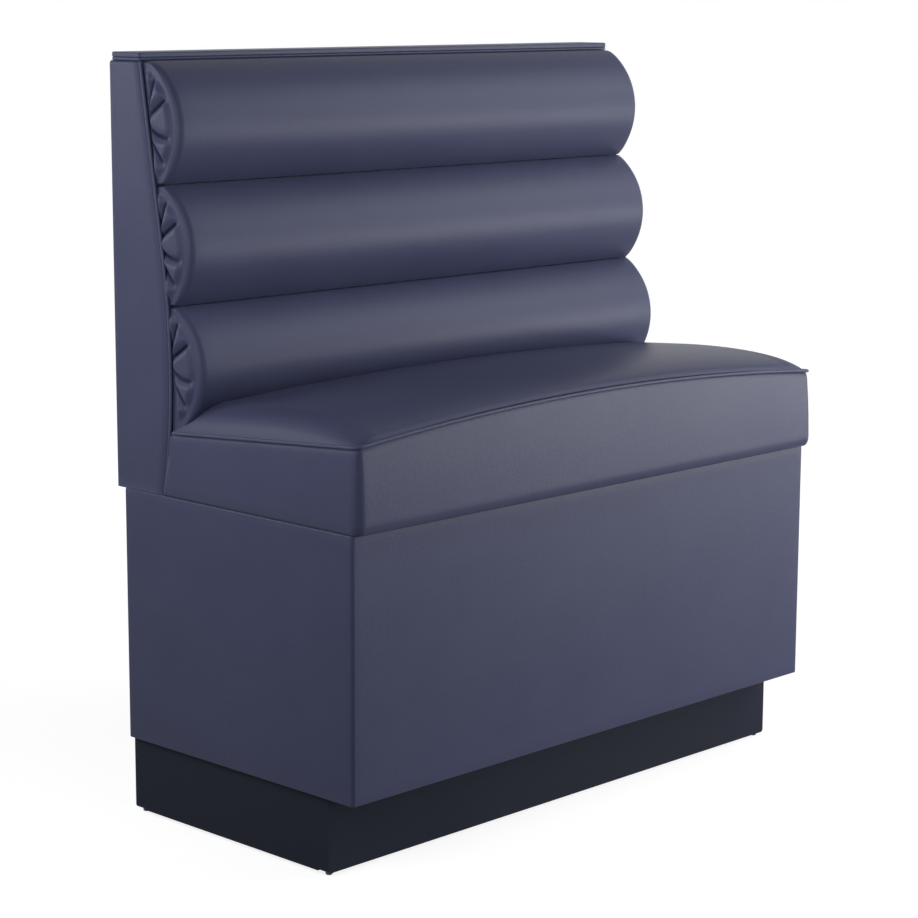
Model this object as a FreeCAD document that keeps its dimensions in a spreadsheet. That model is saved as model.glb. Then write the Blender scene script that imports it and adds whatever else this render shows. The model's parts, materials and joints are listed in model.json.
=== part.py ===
import FreeCAD
import Part
import Sketcher
import math
import os
import re
from FreeCAD import Vector

# Restaurant booth seating: a single-sided upholstered booth on a black plinth.
# Frame: origin on the floor, midway across the booth and midway from the front of
# the seat cushion to the rear of the back. X to the right, Y to the rear, Z up.

# The driving dimensions, in millimetres and degrees.
SIZES = [
    ("base_width", 1168, "width of the upholstered base box"),
    ("base_depth", 563, "depth of the base box"),
    ("base_height", 442, "height of the base box"),
    ("base_corner_round", 7, "rounding of the base's upright corners"),
    ("base_edge_round", 3.5, "rounding of the base's top edge"),
    ("base_pad", 4, "vinyl over thin foam on the base boards"),
    ("seat_overhang", 18, "cushion past the front of the base"),
    ("seat_side_overhang", 5, "cushion past each end of the base"),
    ("back_overhang", 19, "back unit past the rear of the base"),
    ("back_height", 722, "end panel above the base"),
    ("plinth_height", 130, "toe kick height"),
    ("plinth_recess", 69, "toe kick behind the base front"),
    ("plinth_inset", 11, "toe kick inside each end of the base"),
    ("plinth_board", 26, "plinth board thickness"),
    ("plinth_round", 6, "rounding of the plinth's lower corners"),
    ("block_side", 70, "side of a plinth corner block"),
    ("block_height", 90, "height of a plinth corner block"),
    ("glide_show", 6.5, "height of a glide's foot"),
    ("glide_radius", 6, "radius of a glide's foot"),
    ("glide_edge", 1.5, "bevel round a glide's foot"),
    ("glide_stem_radius", 3, "radius of a glide's threaded stem"),
    ("glide_travel", 12, "how far a glide screws out"),
    ("insert_radius", 5, "outer radius of the insert nut"),
    ("insert_length", 14, "length of the insert nut"),
    ("board", 18, "plywood board"),
    ("thin_board", 6, "rear panel board"),
    ("channel_board", 12, "board behind the rolls"),
    ("timber_depth", 38, "thin side of the framing timber"),
    ("timber_width", 64, "wide side of the framing timber"),
    ("cross_rail_setback", 18, "cross rail behind the rear rail's front"),
    ("fit_gap", 0.3, "clearance round stems, bolts and screws"),
    ("soft_gap", 0.3, "clearance between soft pieces"),
    ("skin", 2, "vinyl with its fibre wrap"),
    ("end_pad", 7, "foam and vinyl over an end panel"),
    ("end_edge_round", 6, "rounding of an end panel's edges"),
    ("waist_depth", 145.4, "end panel depth at its waist"),
    ("foot_depth", 125, "end panel depth at the base"),
    ("waist_height", 206.5, "height of the waist above the base"),
    ("bend_height", 400, "height where the front edge turns straight"),
    ("panel_curve", 1250, "radius of the front edge above the waist"),
    ("welt_radius", 3.2, "radius of the piping"),
    ("roll_pitch", 201, "spacing of the rolls along the rake"),
    ("roll_rise", 54.7, "how far a roll stands out from its valleys"),
    ("roll_rake", 6.93, "lean of the back in degrees"),
    ("roll_foot_depth", 174.5, "lowest valley in front of the back's rear"),
    ("roll_foot_height", 121.7, "lowest valley above the base"),
    ("roll_stem", 25, "foam behind the valleys"),
    ("roll_end_round", 16, "rounding of a roll's ends"),
    ("roll_joint", 0.5, "half the gap between two rolls"),
    ("roll_clear", 0.6, "clearance of the seat under the lowest roll"),
    ("seat_roll_under", 8, "rounding of the cushion's bottom edge"),
    ("seat_corner_round", 25, "rounding of the cushion's front corners"),
    ("seat_rear_round", 8, "rounding of the cushion's rear corners"),
    ("seat_lean", 7, "how far the boxing leans in at the seam"),
    ("seat_seam_height", 140, "side seam above the base at the front"),
    ("seat_pitch", 3.95, "fall of the side seam to the rear in degrees"),
    ("seat_arch_front", 28, "rise of the front seam at the middle"),
    ("seat_arch_rear", 18, "rise of the cushion's rear at the middle"),
    ("seat_crown", 45.6, "height of the crown over its seams"),
    ("crown_side", 60, "width of the crown's side slope"),
    ("crown_front", 270, "depth of the crown's front slope"),
    ("seat_rear_gap", 1, "cushion in front of the end panels"),
    ("seat_frame_gap", 1, "cushion skin outside the seat frame"),
    ("spring_wire", 1.8, "radius of the spring wire"),
    ("spring_turn", 12, "radius of a spring's turns"),
    ("spring_bar", 40, "length of a spring's straight bars"),
    ("clip_plate", 1.5, "thickness of a spring clip"),
    ("clip_width", 24, "width of a spring clip"),
    ("clip_length", 26, "length of a spring clip"),
    ("insulator", 5, "felt pad over the springs"),
    ("dust_cloth", 0.8, "cloth under the seat frame"),
    ("cloth_lap", 8, "how far the cloth laps under the rails"),
    ("cap_inset", 5, "cap inside the end panels and the rear"),
    ("cap_depth", 74, "front to rear of the cap"),
    ("cap_height", 14, "cap above the end panels"),
    ("cap_board_thick", 9, "board inside the cap"),
    ("cap_pad", 6.5, "foam and vinyl round the cap's board"),
    ("cap_round", 3, "rounding of the cap's top edges"),
    ("cap_welt_radius", 2.7, "radius of the cap's piping"),
    ("screw_radius", 2.5, "radius of a wood screw"),
    ("screw_head_radius", 5, "radius of a wood screw's head"),
    ("screw_head", 3, "height of a wood screw's head"),
    ("screw_bite", 25, "length of a wood screw in its second piece"),
    ("bolt_radius", 4, "radius of a back bolt"),
    ("bolt_head_radius", 7, "radius of a back bolt's head"),
    ("bolt_head", 5, "height of a back bolt's head"),
    ("washer_radius", 11, "radius of a back bolt's washer"),
    ("washer", 1.6, "thickness of a washer"),
    ("bracket_side", 50, "length of each leg of a bracket"),
    ("bracket_width", 40, "width of a bracket"),
    ("bracket_plate", 3, "thickness of a bracket"),
    ("overrun", 5, "how far a cut runs past what it cuts"),
]

# Places that follow from the sizes.
PLACES = [
    ("half_width", "base_width / 2"),
    ("seat_half", "half_width + seat_side_overhang"),
    ("front_edge", "-(seat_overhang + base_depth + back_overhang) / 2"),
    ("base_front", "front_edge + seat_overhang"),
    ("base_rear", "base_front + base_depth"),
    ("back_rear", "base_rear + back_overhang"),
    ("base_bottom", "glide_show + plinth_height"),
    ("base_top", "base_bottom + base_height"),
    ("back_top", "base_top + back_height"),
    ("plinth_half", "half_width - plinth_inset"),
    ("plinth_front", "base_front + plinth_recess"),
    ("glide_side", "plinth_half - plinth_board / 2"),
    ("glide_front", "plinth_front + plinth_board / 2"),
    ("glide_rear", "base_rear - plinth_board / 2"),
    ("block_out", "plinth_half - plinth_board"),
    ("block_in", "block_out - block_side"),
    ("stem_length", "insert_length + glide_travel"),
    ("panel_half", "half_width - base_pad"),
    ("panel_in", "panel_half - board"),
    ("panel_front", "base_front + base_pad"),
    ("panel_rear", "base_rear - base_pad"),
    ("floor_top", "base_bottom + board"),
    ("panel_top", "base_top - base_pad"),
    ("cleat_bottom", "panel_top - timber_depth"),
    ("front_cleat_rear", "panel_front + board + timber_depth"),
    ("rear_cleat_front", "panel_rear - board - timber_depth"),
    ("seat_foot", "back_rear - foot_depth - seat_rear_gap"),
    ("frame_half", "seat_half - seat_roll_under - seat_frame_gap"),
    ("frame_front", "front_edge + seat_roll_under + seat_frame_gap"),
    ("frame_corner", "seat_corner_round - seat_roll_under - seat_frame_gap"),
    ("frame_top", "base_top + timber_depth"),
    ("spring_level", "frame_top + clip_plate + fit_gap + spring_wire"),
    ("pad_bottom", "spring_level + spring_wire + fit_gap + clip_plate + soft_gap"),
    ("pad_top", "pad_bottom + insulator"),
    ("foot_step", "waist_depth - foot_depth"),
    ("foot_curve", "(foot_step * foot_step + waist_height * waist_height) / (2 * foot_step)"),
    ("pad_drop", "base_top + waist_height - pad_top"),
    ("pad_bow", "foot_curve - sqrt(foot_curve * foot_curve - pad_drop * pad_drop)"),
    ("frame_rear", "back_rear - waist_depth + pad_bow - seat_rear_gap - skin - seat_frame_gap"),
    ("rear_rail_front", "frame_rear - timber_width"),
    ("front_rail_rear", "frame_front + timber_width"),
    ("side_rail_in", "frame_half - timber_width"),
    ("cross_front", "rear_rail_front + cross_rail_setback"),
    ("back_in", "half_width - end_pad - board"),
    ("waist_front", "back_rear - waist_depth"),
    ("waist_level", "base_top + waist_height"),
    ("bottom_rail_front", "back_rear - foot_depth + 3 * welt_radius"),
    ("rear_board_rear", "back_rear - skin - fit_gap"),
    ("rear_board_front", "rear_board_rear - thin_board"),
    ("bottom_rail_middle", "(bottom_rail_front + rear_board_front) / 2"),
    ("rake_cos", "cos(roll_rake * 1 deg)"),
    ("rake_sin", "sin(roll_rake * 1 deg)"),
    ("foot_valley", "back_rear - roll_foot_depth"),
    ("foot_level", "base_top + roll_foot_height"),
    ("pad_in", "half_width - end_pad"),
    ("roll_half", "pad_in - soft_gap"),
    ("welt_room", "2 * welt_radius + soft_gap"),
    ("board_place", "foot_valley + roll_stem * rake_cos"),
    ("board_level", "foot_level - roll_stem * rake_sin"),
    ("board_behind", "foot_valley + (roll_stem + channel_board) * rake_cos"),
    ("board_under", "foot_level - (roll_stem + channel_board) * rake_sin"),
    ("top_board_bottom", "back_top - board"),
    ("rib_top_reach", "(top_board_bottom - board_under) * rake_sin / rake_cos"),
    ("cleat_reach", "(top_board_bottom - board_under) / rake_cos - timber_depth * rake_sin"),
    ("top_board_front", "board_behind + (back_top - board_under) * rake_sin / rake_cos"),
    ("board_reach", "(back_top - board_level) / rake_cos - fit_gap"),
    ("bottom_rail_top", "base_top + timber_depth"),
    ("cap_half", "half_width - cap_inset"),
    ("cap_rear", "back_rear - cap_inset"),
    ("cap_front", "cap_rear - cap_depth"),
    ("cap_top", "back_top + cap_height"),
    ("cap_skirt", "back_top + 2 * cap_welt_radius"),
]

# Shares: where along a piece its repeated parts stand.
fixing_shares = (-0.75, -0.25, 0.25, 0.75)
bolt_shares = (-0.8, -0.28, 0.28, 0.8)
spring_shares = (-0.74, -0.37, 0.0, 0.37, 0.74)
crown_station_shares = (0.0, 0.04, 0.13, 0.28, 0.5, 0.75, 1.0)
boxing_level_shares = (0.25, 0.5, 0.75, 1.0)
front_welt_shares = (-0.86, -0.66, -0.42, -0.15, 0.15, 0.42, 0.66, 0.86)
crown_third_share = 1 / 3
crown_third_rise_share = 0.6
corner_reach_share = 0.45
welt_lift_share = 0.35
bracket_hole_share = 0.62
# Turning of a quarter round, in degrees, at the stations of a rounded end.
ROUND_TURNS = (0, 30, 60, 90)
# Sides of the spring wire, which is drawn as a prism.
WIRE_SIDES = 8

doc = FreeCAD.newDocument("booth")
sizes = doc.addObject("Spreadsheet::Sheet", "sizes")
places = doc.addObject("Spreadsheet::Sheet", "places")
SIZE_NAMES = {name for name, value, note in SIZES}
PLACE_NAMES = {name for name, rule in PLACES}


def expression(rule):
    """A rule with each named size or place written as its cell."""
    def cell(match):
        word = match.group(0)
        if word in SIZE_NAMES:
            return "sizes." + word
        if word in PLACE_NAMES:
            return "places." + word
        return word
    return re.sub(r"[a-z][a-z_]*", cell, str(rule))


for row, (name, value, note) in enumerate(SIZES, 1):
    sizes.set("A%d" % row, name)
    sizes.set("B%d" % row, str(value))
    sizes.set("C%d" % row, note)
    sizes.setAlias("B%d" % row, name)
for row, (name, rule) in enumerate(PLACES, 1):
    places.set("A%d" % row, name)
    places.set("B%d" % row, "=" + expression(rule).replace("places.", ""))
    places.setAlias("B%d" % row, name)
doc.recompute()


class Cells:
    """The value of a named size or place, read from its cell."""

    def __getattr__(self, name):
        sheet = sizes if name in SIZE_NAMES else places
        value = getattr(sheet, name)
        return float(getattr(value, "Value", value))


s = Cells()
parts = []


def keep(item, label=None):
    """Mark an object as one finished sub-part."""
    item.Label = label or item.Name
    parts.append(item)
    return item


def bind(item, prop, rule):
    item.setExpression(prop, expression(rule))


def block(name, x, y, z):
    """A straight board or block between two places along each axis."""
    box = doc.addObject("Part::Box", name)
    for side, axis, (low, high) in (("Length", "x", x), ("Width", "y", y), ("Height", "z", z)):
        bind(box, side, "(%s) - (%s)" % (high, low))
        bind(box, "Placement.Base.%s" % axis, low)
    return box


def raked(box, y, z):
    """Lean a block with the back, from a corner on the rake."""
    bind(box, "Placement.Base.y", y)
    bind(box, "Placement.Base.z", z)
    box.Placement.Rotation = FreeCAD.Rotation(Vector(1, 0, 0), -1)
    bind(box, "Placement.Rotation.Angle", "-roll_rake * 1 deg")
    return box


def rod(name, at, radius, length, turn=None):
    """A round pin from a place, upwards unless it is turned."""
    pin = doc.addObject("Part::Cylinder", name)
    bind(pin, "Radius", radius)
    bind(pin, "Height", length)
    if turn:
        pin.Placement.Rotation = turn
    for axis, place in zip("xyz", at):
        bind(pin, "Placement.Base.%s" % axis, place)
    return pin


def join(name, items):
    if len(items) == 1:
        return items[0]
    union = doc.addObject("Part::MultiFuse", name)
    union.Shapes = items
    return union


def cut(name, base, tools):
    piece = doc.addObject("Part::Cut", name)
    piece.Base = base
    piece.Tool = join(name + "_holes", tools)
    return piece


def group(name, items):
    """Identical pieces that share one node as separate solids."""
    bundle = doc.addObject("Part::Compound", name)
    bundle.Links = items
    return keep(bundle)


def shaped(name, shape, across=0):
    """A sub-part whose form is worked out from the cells, moved across the booth."""
    item = doc.addObject("Part::Feature", name)
    item.Shape = shape
    item.Placement = FreeCAD.Placement(Vector(across, 0, 0), FreeCAD.Rotation())
    return keep(item)


def plane_sketch(body, role, name):
    sketch = body.newObject("Sketcher::SketchObject", name)
    origin = [item for item in body.Origin.OriginFeatures if item.Role == role][0]
    sketch.AttachmentSupport = (origin, "")
    sketch.MapMode = "FlatFace"
    return sketch


def outline(sketch, corners):
    """A closed outline whose corners are bound to places along both axes."""
    spots = [Vector(s_of(across), s_of(along), 0) for across, along in corners]
    count = len(spots)
    for index, spot in enumerate(spots):
        sketch.addGeometry(Part.LineSegment(spot, spots[(index + 1) % count]), False)
    for index in range(count):
        sketch.addConstraint(Sketcher.Constraint("Coincident", index, 2, (index + 1) % count, 1))
    for index, (across, along) in enumerate(corners):
        for kind, rule, value in (("DistanceX", across, spots[index].x),
                                  ("DistanceY", along, spots[index].y)):
            number = sketch.addConstraint(Sketcher.Constraint(kind, -1, 1, index, 1, value))
            label = "%s%d" % (kind, index)
            sketch.renameConstraint(number, label)
            sketch.setExpression("Constraints." + label, expression(rule))


def s_of(rule):
    """The number that a rule gives."""
    names = {name: getattr(s, name) for name in re.findall(r"[a-z][a-z_]*", str(rule))}
    total = FreeCAD.Units.Quantity(re.sub(r"[a-z][a-z_]*", lambda m: repr(names[m.group(0)]),
                                          str(rule)).replace("--", "+"))
    return float(total.Value)


def circle_in(sketch, first, across, along, radius):
    """A round hole in a sketch, bound to its place and radius."""
    spot = Vector(s_of(across), s_of(along), 0)
    ring = sketch.addGeometry(Part.Circle(spot, Vector(0, 0, 1), s_of(radius)), False)
    for kind, rule, value in (("DistanceX", across, spot.x), ("DistanceY", along, spot.y)):
        number = sketch.addConstraint(Sketcher.Constraint(kind, -1, 1, ring, 3, value))
        sketch.renameConstraint(number, "%shole%d" % (kind, first))
        sketch.setExpression("Constraints.%shole%d" % (kind, first), expression(rule))
    number = sketch.addConstraint(Sketcher.Constraint("Radius", ring, s_of(radius)))
    sketch.renameConstraint(number, "radius%d" % first)
    sketch.setExpression("Constraints.radius%d" % first, expression(radius))


def padded_body(name, role, corners, length, start=None, middle=False, holes=()):
    """A body whose outline, with any round holes, is padded to a length."""
    body = doc.addObject("PartDesign::Body", name)
    sketch = plane_sketch(body, role, name + "_outline")
    outline(sketch, corners)
    for index, (across, along, radius) in enumerate(holes):
        circle_in(sketch, index, across, along, radius)
    if start:
        bind(sketch, "AttachmentOffset.Base.z", start)
    pad = body.newObject("PartDesign::Pad", name + "_pad")
    pad.Profile = sketch
    pad.Midplane = middle
    bind(pad, "Length", length)
    sketch.Visibility = False
    return body


def rectangle(x, y):
    return [(x[0], y[0]), (x[1], y[0]), (x[1], y[1]), (x[0], y[1])]


def pocket(body, name, corners, start, length):
    """An upward pocket from a level of the body."""
    sketch = plane_sketch(body, "XY_Plane", name + "_outline")
    outline(sketch, corners)
    bind(sketch, "AttachmentOffset.Base.z", start)
    hollow = body.newObject("PartDesign::Pocket", name)
    hollow.Profile = sketch
    hollow.Reversed = True
    bind(hollow, "Length", length)
    return hollow


def rounded(body, name, radius, chosen):
    """Round the chosen edges of a body."""
    doc.recompute()
    base = body.Tip
    edges = ["Edge%d" % number for number, edge in enumerate(base.Shape.Edges, 1) if chosen(edge)]
    fillet = body.newObject("PartDesign::Fillet", name)
    fillet.Base = (base, edges)
    bind(fillet, "Radius", radius)


def upright(edge):
    first, last = edge.Vertexes[0].Point, edge.Vertexes[-1].Point
    return abs(first.x - last.x) + abs(first.y - last.y) < s.fit_gap


def at_level(level):
    """Whether an edge lies in one level plane."""
    def flat(edge):
        box = edge.BoundBox
        return abs(box.ZMin - level) < s.fit_gap and abs(box.ZMax - level) < s.fit_gap
    return flat


SIDES = (("left", "-"), ("right", ""))
DOWN = FreeCAD.Rotation(Vector(1, 0, 0), 180)


def screws(name, spots, radius, length, head_radius, head, downward, washer=False):
    """Headed screws or bolts, each from the seat of its head."""
    items = []
    for index, (x, y, z) in enumerate(spots, 1):
        label = "%s_%d" % (name, index)
        sign = "-" if downward else "+"
        pieces = [rod(label + "_shank", (x, y, z), radius, length, DOWN if downward else None)]
        lift = head if not washer else "%s + washer" % head
        base = "(%s) %s (0 - (%s))" % (z, sign, lift)
        pieces.append(rod(label + "_head", (x, y, base), head_radius, lift,
                          DOWN if downward else None))
        if washer:
            ring_base = "(%s) %s (0 - washer)" % (z, sign)
            pieces.append(rod(label + "_washer", (x, y, ring_base), "washer_radius", "washer",
                              DOWN if downward else None))
        items.append(join(label, pieces))
    return group(name, items)


# Plinth: four boards, a centre brace and corner blocks, with the glides' insert nuts.
def glide_holes(name, y, bottom_board):
    """Bores for the insert nuts and stems in a board's lower edge."""
    tools = []
    for side, sign in SIDES:
        at = (sign + "glide_side", y)
        tools.append(rod("%s_insert_%s" % (name, side), at + ("glide_show - overrun",),
                         "insert_radius", "insert_length + overrun"))
        tools.append(rod("%s_stem_%s" % (name, side), at + ("glide_show",),
                         "glide_stem_radius + fit_gap", "stem_length + fit_gap"))
    return cut(name, bottom_board, tools)


def round_lower_corners(name, board):
    """Round the lower corners at both ends of a plinth board."""
    doc.recompute()
    fillet = doc.addObject("Part::Fillet", name)
    fillet.Base = board
    chosen = []
    for number, edge in enumerate(board.Shape.Edges, 1):
        first, last = edge.Vertexes[0].Point, edge.Vertexes[-1].Point
        along_y = abs(first.x - last.x) + abs(first.z - last.z) < s.fit_gap
        if along_y and abs(first.z - s.glide_show) < s.fit_gap:
            chosen.append((number, s.plinth_round, s.plinth_round))
    fillet.Edges = chosen
    return fillet


for end, low, high, middle in (("front", "plinth_front", "plinth_front + plinth_board", "glide_front"),
                               ("rear", "base_rear - plinth_board", "base_rear", "glide_rear")):
    blank = block("plinth_%s_blank" % end, ("-plinth_half", "plinth_half"), (low, high),
                  ("glide_show", "base_bottom"))
    rounded_blank = round_lower_corners("plinth_%s_rounded" % end, blank)
    keep(glide_holes("plinth_%s_board" % end, middle, rounded_blank))
between = ("plinth_front + plinth_board", "base_rear - plinth_board")
keep(block("plinth_end_left", ("-plinth_half", "-plinth_half + plinth_board"), between,
           ("glide_show", "base_bottom")))
keep(block("plinth_end_right", ("plinth_half - plinth_board", "plinth_half"), between,
           ("glide_show", "base_bottom")))
keep(block("plinth_centre_brace", ("-board / 2", "board / 2"), between, ("glide_show", "base_bottom")))

corner_blocks = []
floor_screws = []
inserts = []
for side, sign in SIDES:
    x = ("-block_out", "-block_in") if sign else ("block_in", "block_out")
    for end, low, high, glide in (
            ("front", "plinth_front + plinth_board", "plinth_front + plinth_board + block_side",
             "glide_front"),
            ("rear", "base_rear - plinth_board - block_side", "base_rear - plinth_board", "glide_rear")):
        label = "block_%s_%s" % (end, side)
        blank = block(label + "_blank", x, (low, high), ("base_bottom - block_height", "base_bottom"))
        at = ("(%s + %s) / 2" % x, "(%s + %s) / 2" % (low, high))
        bore = rod(label + "_bore", at + ("base_bottom - screw_bite - fit_gap",), "screw_radius + fit_gap",
                   "screw_bite + fit_gap + overrun")
        corner_blocks.append(cut(label, blank, [bore]))
        floor_screws.append(at)
        nut = rod("nut_%s_%s" % (end, side), (sign + "glide_side", glide, "glide_show"),
                  "insert_radius", "insert_length")
        bore = rod("nut_bore_%s_%s" % (end, side), (sign + "glide_side", glide, "glide_show - overrun"),
                   "glide_stem_radius + fit_gap", "insert_length + 2 * overrun")
        inserts.append(cut("insert_%s_%s" % (end, side), nut, [bore]))
group("plinth_corner_blocks", corner_blocks)
group("glide_insert_nuts", inserts)

# Glides: a bevelled foot on a threaded stem, each turned up to the plinth.
glide_outline = [("0", "0"), ("glide_radius - glide_edge", "0"), ("glide_radius", "glide_edge"),
                 ("glide_radius", "glide_show"), ("glide_stem_radius", "glide_show"),
                 ("glide_stem_radius", "glide_show + stem_length"), ("0", "glide_show + stem_length")]
for side, sign in SIDES:
    for end in ("front", "rear"):
        name = "glide_%s_%s" % (end, side)
        body = doc.addObject("PartDesign::Body", name)
        sketch = plane_sketch(body, "XZ_Plane", name + "_outline")
        outline(sketch, glide_outline)
        turned = body.newObject("PartDesign::Revolution", name + "_turned")
        turned.Profile = sketch
        turned.ReferenceAxis = (sketch, ["V_Axis"])
        turned.Angle = 360
        bind(body, "Placement.Base.x", sign + "glide_side")
        bind(body, "Placement.Base.y", "glide_" + end)
        keep(body)

# Base box: floor board, four panels, a divider and cleats, in one wrapped cover.
keep(padded_body("base_floor_board", "XY_Plane",
                 rectangle(("-panel_half", "panel_half"), ("panel_front", "panel_rear")), "board",
                 start="base_bottom", holes=[at + ("screw_radius + fit_gap",) for at in floor_screws]))
full_x = ("-panel_half", "panel_half")
inner_y = ("panel_front + board", "panel_rear - board")
wall_z = ("floor_top", "panel_top")
keep(block("base_front_panel", full_x, ("panel_front", "panel_front + board"), wall_z))
keep(block("base_rear_panel", full_x, ("panel_rear - board", "panel_rear"), wall_z))
keep(block("base_end_panel_left", ("-panel_half", "-panel_in"), inner_y, wall_z))
keep(block("base_end_panel_right", ("panel_in", "panel_half"), inner_y, wall_z))
keep(block("base_centre_divider", ("-board / 2", "board / 2"), inner_y, ("floor_top", "cleat_bottom")))
screws("base_floor_screws", [at + ("floor_top",) for at in floor_screws], "screw_radius",
       "board + screw_bite", "screw_head_radius", "screw_head", True)

inner_x = ("-panel_in", "panel_in")
seat_spots = [("panel_in * %s" % share, "front_cleat_rear - timber_depth / 2") for share in fixing_shares]
cross_spots = [("panel_in * %s" % share, "cross_front + timber_depth / 2") for share in fixing_shares]
bolt_spots = [("panel_in * %s" % share, "rear_cleat_front + timber_depth / 2") for share in bolt_shares]
screw_bore = "screw_radius + fit_gap"
keep(padded_body("base_front_cleat", "XY_Plane",
                 rectangle(inner_x, ("panel_front + board", "front_cleat_rear")), "timber_depth",
                 start="cleat_bottom", holes=[at + (screw_bore,) for at in seat_spots]))
keep(padded_body("base_rear_cleat", "XY_Plane",
                 rectangle(inner_x, ("rear_cleat_front", "panel_rear - board")), "timber_depth",
                 start="cleat_bottom", holes=[at + ("bolt_radius + fit_gap",) for at in bolt_spots]))
keep(padded_body("base_cross_rail", "XY_Plane",
                 rectangle(inner_x, ("cross_front", "cross_front + timber_depth")),
                 "timber_depth + base_pad", start="cleat_bottom",
                 holes=[at + (screw_bore,) for at in cross_spots]))

cover = padded_body("base_cover", "XY_Plane",
                    rectangle(("-half_width", "half_width"), ("base_front", "base_rear")), "base_height",
                    start="base_bottom")
rounded(cover, "base_cover_corners", "base_corner_round", upright)
rounded(cover, "base_cover_edge", "base_edge_round", at_level(s.base_top))
pocket(cover, "base_cover_inside", rectangle(full_x, ("panel_front", "panel_rear")), "base_bottom",
       "base_height - base_pad")
pocket(cover, "base_cover_mouth", rectangle(inner_x, inner_y), "panel_top - overrun",
       "base_pad + 2 * overrun")
keep(cover)

# Seat frame: four rails, with springs and their clips, a felt pad and a dust cloth.
frame_z = ("base_top", "frame_top")
rail_x = ("-frame_half", "frame_half")


def seat_rail(name, y, spots, front=None):
    """A cross rail of the seat frame, bored from below for its screws."""
    blank = padded_body(name + "_blank", "XY_Plane", rectangle(rail_x, y), "timber_depth", start="base_top")
    if front is not None:
        rounded(blank, name + "_corners", "frame_corner",
                lambda edge: upright(edge) and on_front(edge, front))
    bores = [rod("%s_bore_%d" % (name, index), at + ("base_top - overrun",), screw_bore,
                 "screw_bite + fit_gap + overrun") for index, at in enumerate(spots, 1)]
    return keep(cut(name, blank, bores))


def on_front(edge, level):
    """Whether an upright edge stands on the front of its piece."""
    return abs(edge.Vertexes[0].Point.y - level) < s.fit_gap


seat_rail("seat_front_rail", ("frame_front", "front_rail_rear"), seat_spots, front=s.frame_front)
seat_rail("seat_rear_rail", ("rear_rail_front", "frame_rear"), cross_spots)
side_y = ("front_rail_rear", "rear_rail_front")
keep(block("seat_side_rail_left", ("-frame_half", "-side_rail_in"), side_y, frame_z))
keep(block("seat_side_rail_right", ("side_rail_in", "frame_half"), side_y, frame_z))
screws("seat_fixing_screws", [at + ("cleat_bottom",) for at in seat_spots + cross_spots],
       "screw_radius", "timber_depth + base_pad + screw_bite", "screw_head_radius", "screw_head", False)
keep(block("seat_dust_cloth", ("-side_rail_in - cloth_lap", "side_rail_in + cloth_lap"),
           ("front_rail_rear - cloth_lap", "rear_rail_front + cloth_lap"),
           ("base_top - dust_cloth", "base_top")))
pad = padded_body("seat_spring_pad", "XY_Plane", rectangle(rail_x, ("frame_front", "frame_rear")),
                  "insulator", start="pad_bottom")
rounded(pad, "seat_spring_pad_corners", "frame_corner", upright)
keep(pad)


def spring_line():
    """The bars' places from the front clip to the rear clip, one turn apart."""
    first = s.frame_front + s.timber_width / 2
    last = s.frame_rear - s.timber_width / 2
    turns = 2 * int((last - first) / (4 * s.spring_turn))
    return first, turns


def wire_section(x, y):
    """The spring wire's section, square across the booth."""
    turns = [2 * math.pi * (side + 1 / 2) / WIRE_SIDES for side in range(WIRE_SIDES + 1)]
    return Part.Face(Part.makePolygon([Vector(x, y + s.spring_wire * math.cos(turn),
                                              s.spring_level + s.spring_wire * math.sin(turn))
                                       for turn in turns]))


def spring_shape(x):
    """A flat serpentine: bars across the seat joined by half turns."""
    first, turns = spring_line()
    half = s.spring_bar / 2
    pieces = []
    for index in range(turns + 1):
        y = first + index * 2 * s.spring_turn
        way = 1 if index % 2 == 0 else -1
        pieces.append(wire_section(x - half, y).extrude(Vector(s.spring_bar, 0, 0)))
        if index < turns:
            centre = Vector(x + way * half, y + s.spring_turn, s.spring_level)
            pieces.append(wire_section(centre.x, y).revolve(centre, Vector(0, 0, 1), way * 180))
    return pieces[0].multiFuse(pieces[1:])


def clip_shape(x, y):
    """A spring clip: a plate on the rail with a loop round the spring's bar."""
    low = s.frame_top
    plate = Part.makeBox(s.clip_width, s.clip_length, s.clip_plate,
                         Vector(x - s.clip_width / 2, y - s.clip_length / 2, low))
    bore = s.spring_wire + s.fit_gap
    start = Vector(x - s.clip_width / 2, y, s.spring_level)
    along = Vector(1, 0, 0)
    loop = Part.makeCylinder(bore + s.clip_plate, s.clip_width, start, along)
    hollow = Part.makeCylinder(bore, s.clip_width + 2 * s.overrun, start - along * s.overrun, along)
    return plate.fuse(loop).cut(hollow).removeSplitter()


spring_places = [s.side_rail_in * share for share in spring_shares]
shaped("seat_springs", Part.makeCompound([spring_shape(x) for x in spring_places]))
first_bar, spring_turns = spring_line()
last_bar = first_bar + spring_turns * 2 * s.spring_turn
shaped("seat_spring_clips", Part.makeCompound([clip_shape(x, y) for x in spring_places
                                               for y in (first_bar, last_bar)]))


# The end panels' front edge: an arc up to the waist, a second arc and a straight run.
def end_edge(inset, top_inset):
    """The front edge, moved in by an inset, with its foot and its top corner."""
    lower = s.foot_curve - inset
    upper = s.panel_curve - inset
    low_centre = s.waist_front + s.foot_curve
    high_centre = s.waist_front + s.panel_curve
    bend = math.asin((s.bend_height - s.waist_height) / s.panel_curve)
    foot = math.asin(s.waist_height / lower)

    def on_lower(turn):
        return Vector(0, low_centre - lower * math.cos(turn), s.waist_level - lower * math.sin(turn))

    def on_upper(turn):
        return Vector(0, high_centre - upper * math.cos(turn), s.waist_level + upper * math.sin(turn))
    top = s.back_top - top_inset
    turned = on_upper(bend)
    reach = (top - turned.z) / math.cos(bend)
    corner = turned + Vector(0, math.sin(bend), math.cos(bend)) * reach
    edges = [Part.Arc(on_lower(foot), on_lower(foot / 2), on_lower(0)).toShape(),
             Part.Arc(on_upper(0), on_upper(bend / 2), turned).toShape(),
             Part.LineSegment(turned, corner).toShape()]
    return edges, on_lower(foot), corner


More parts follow.
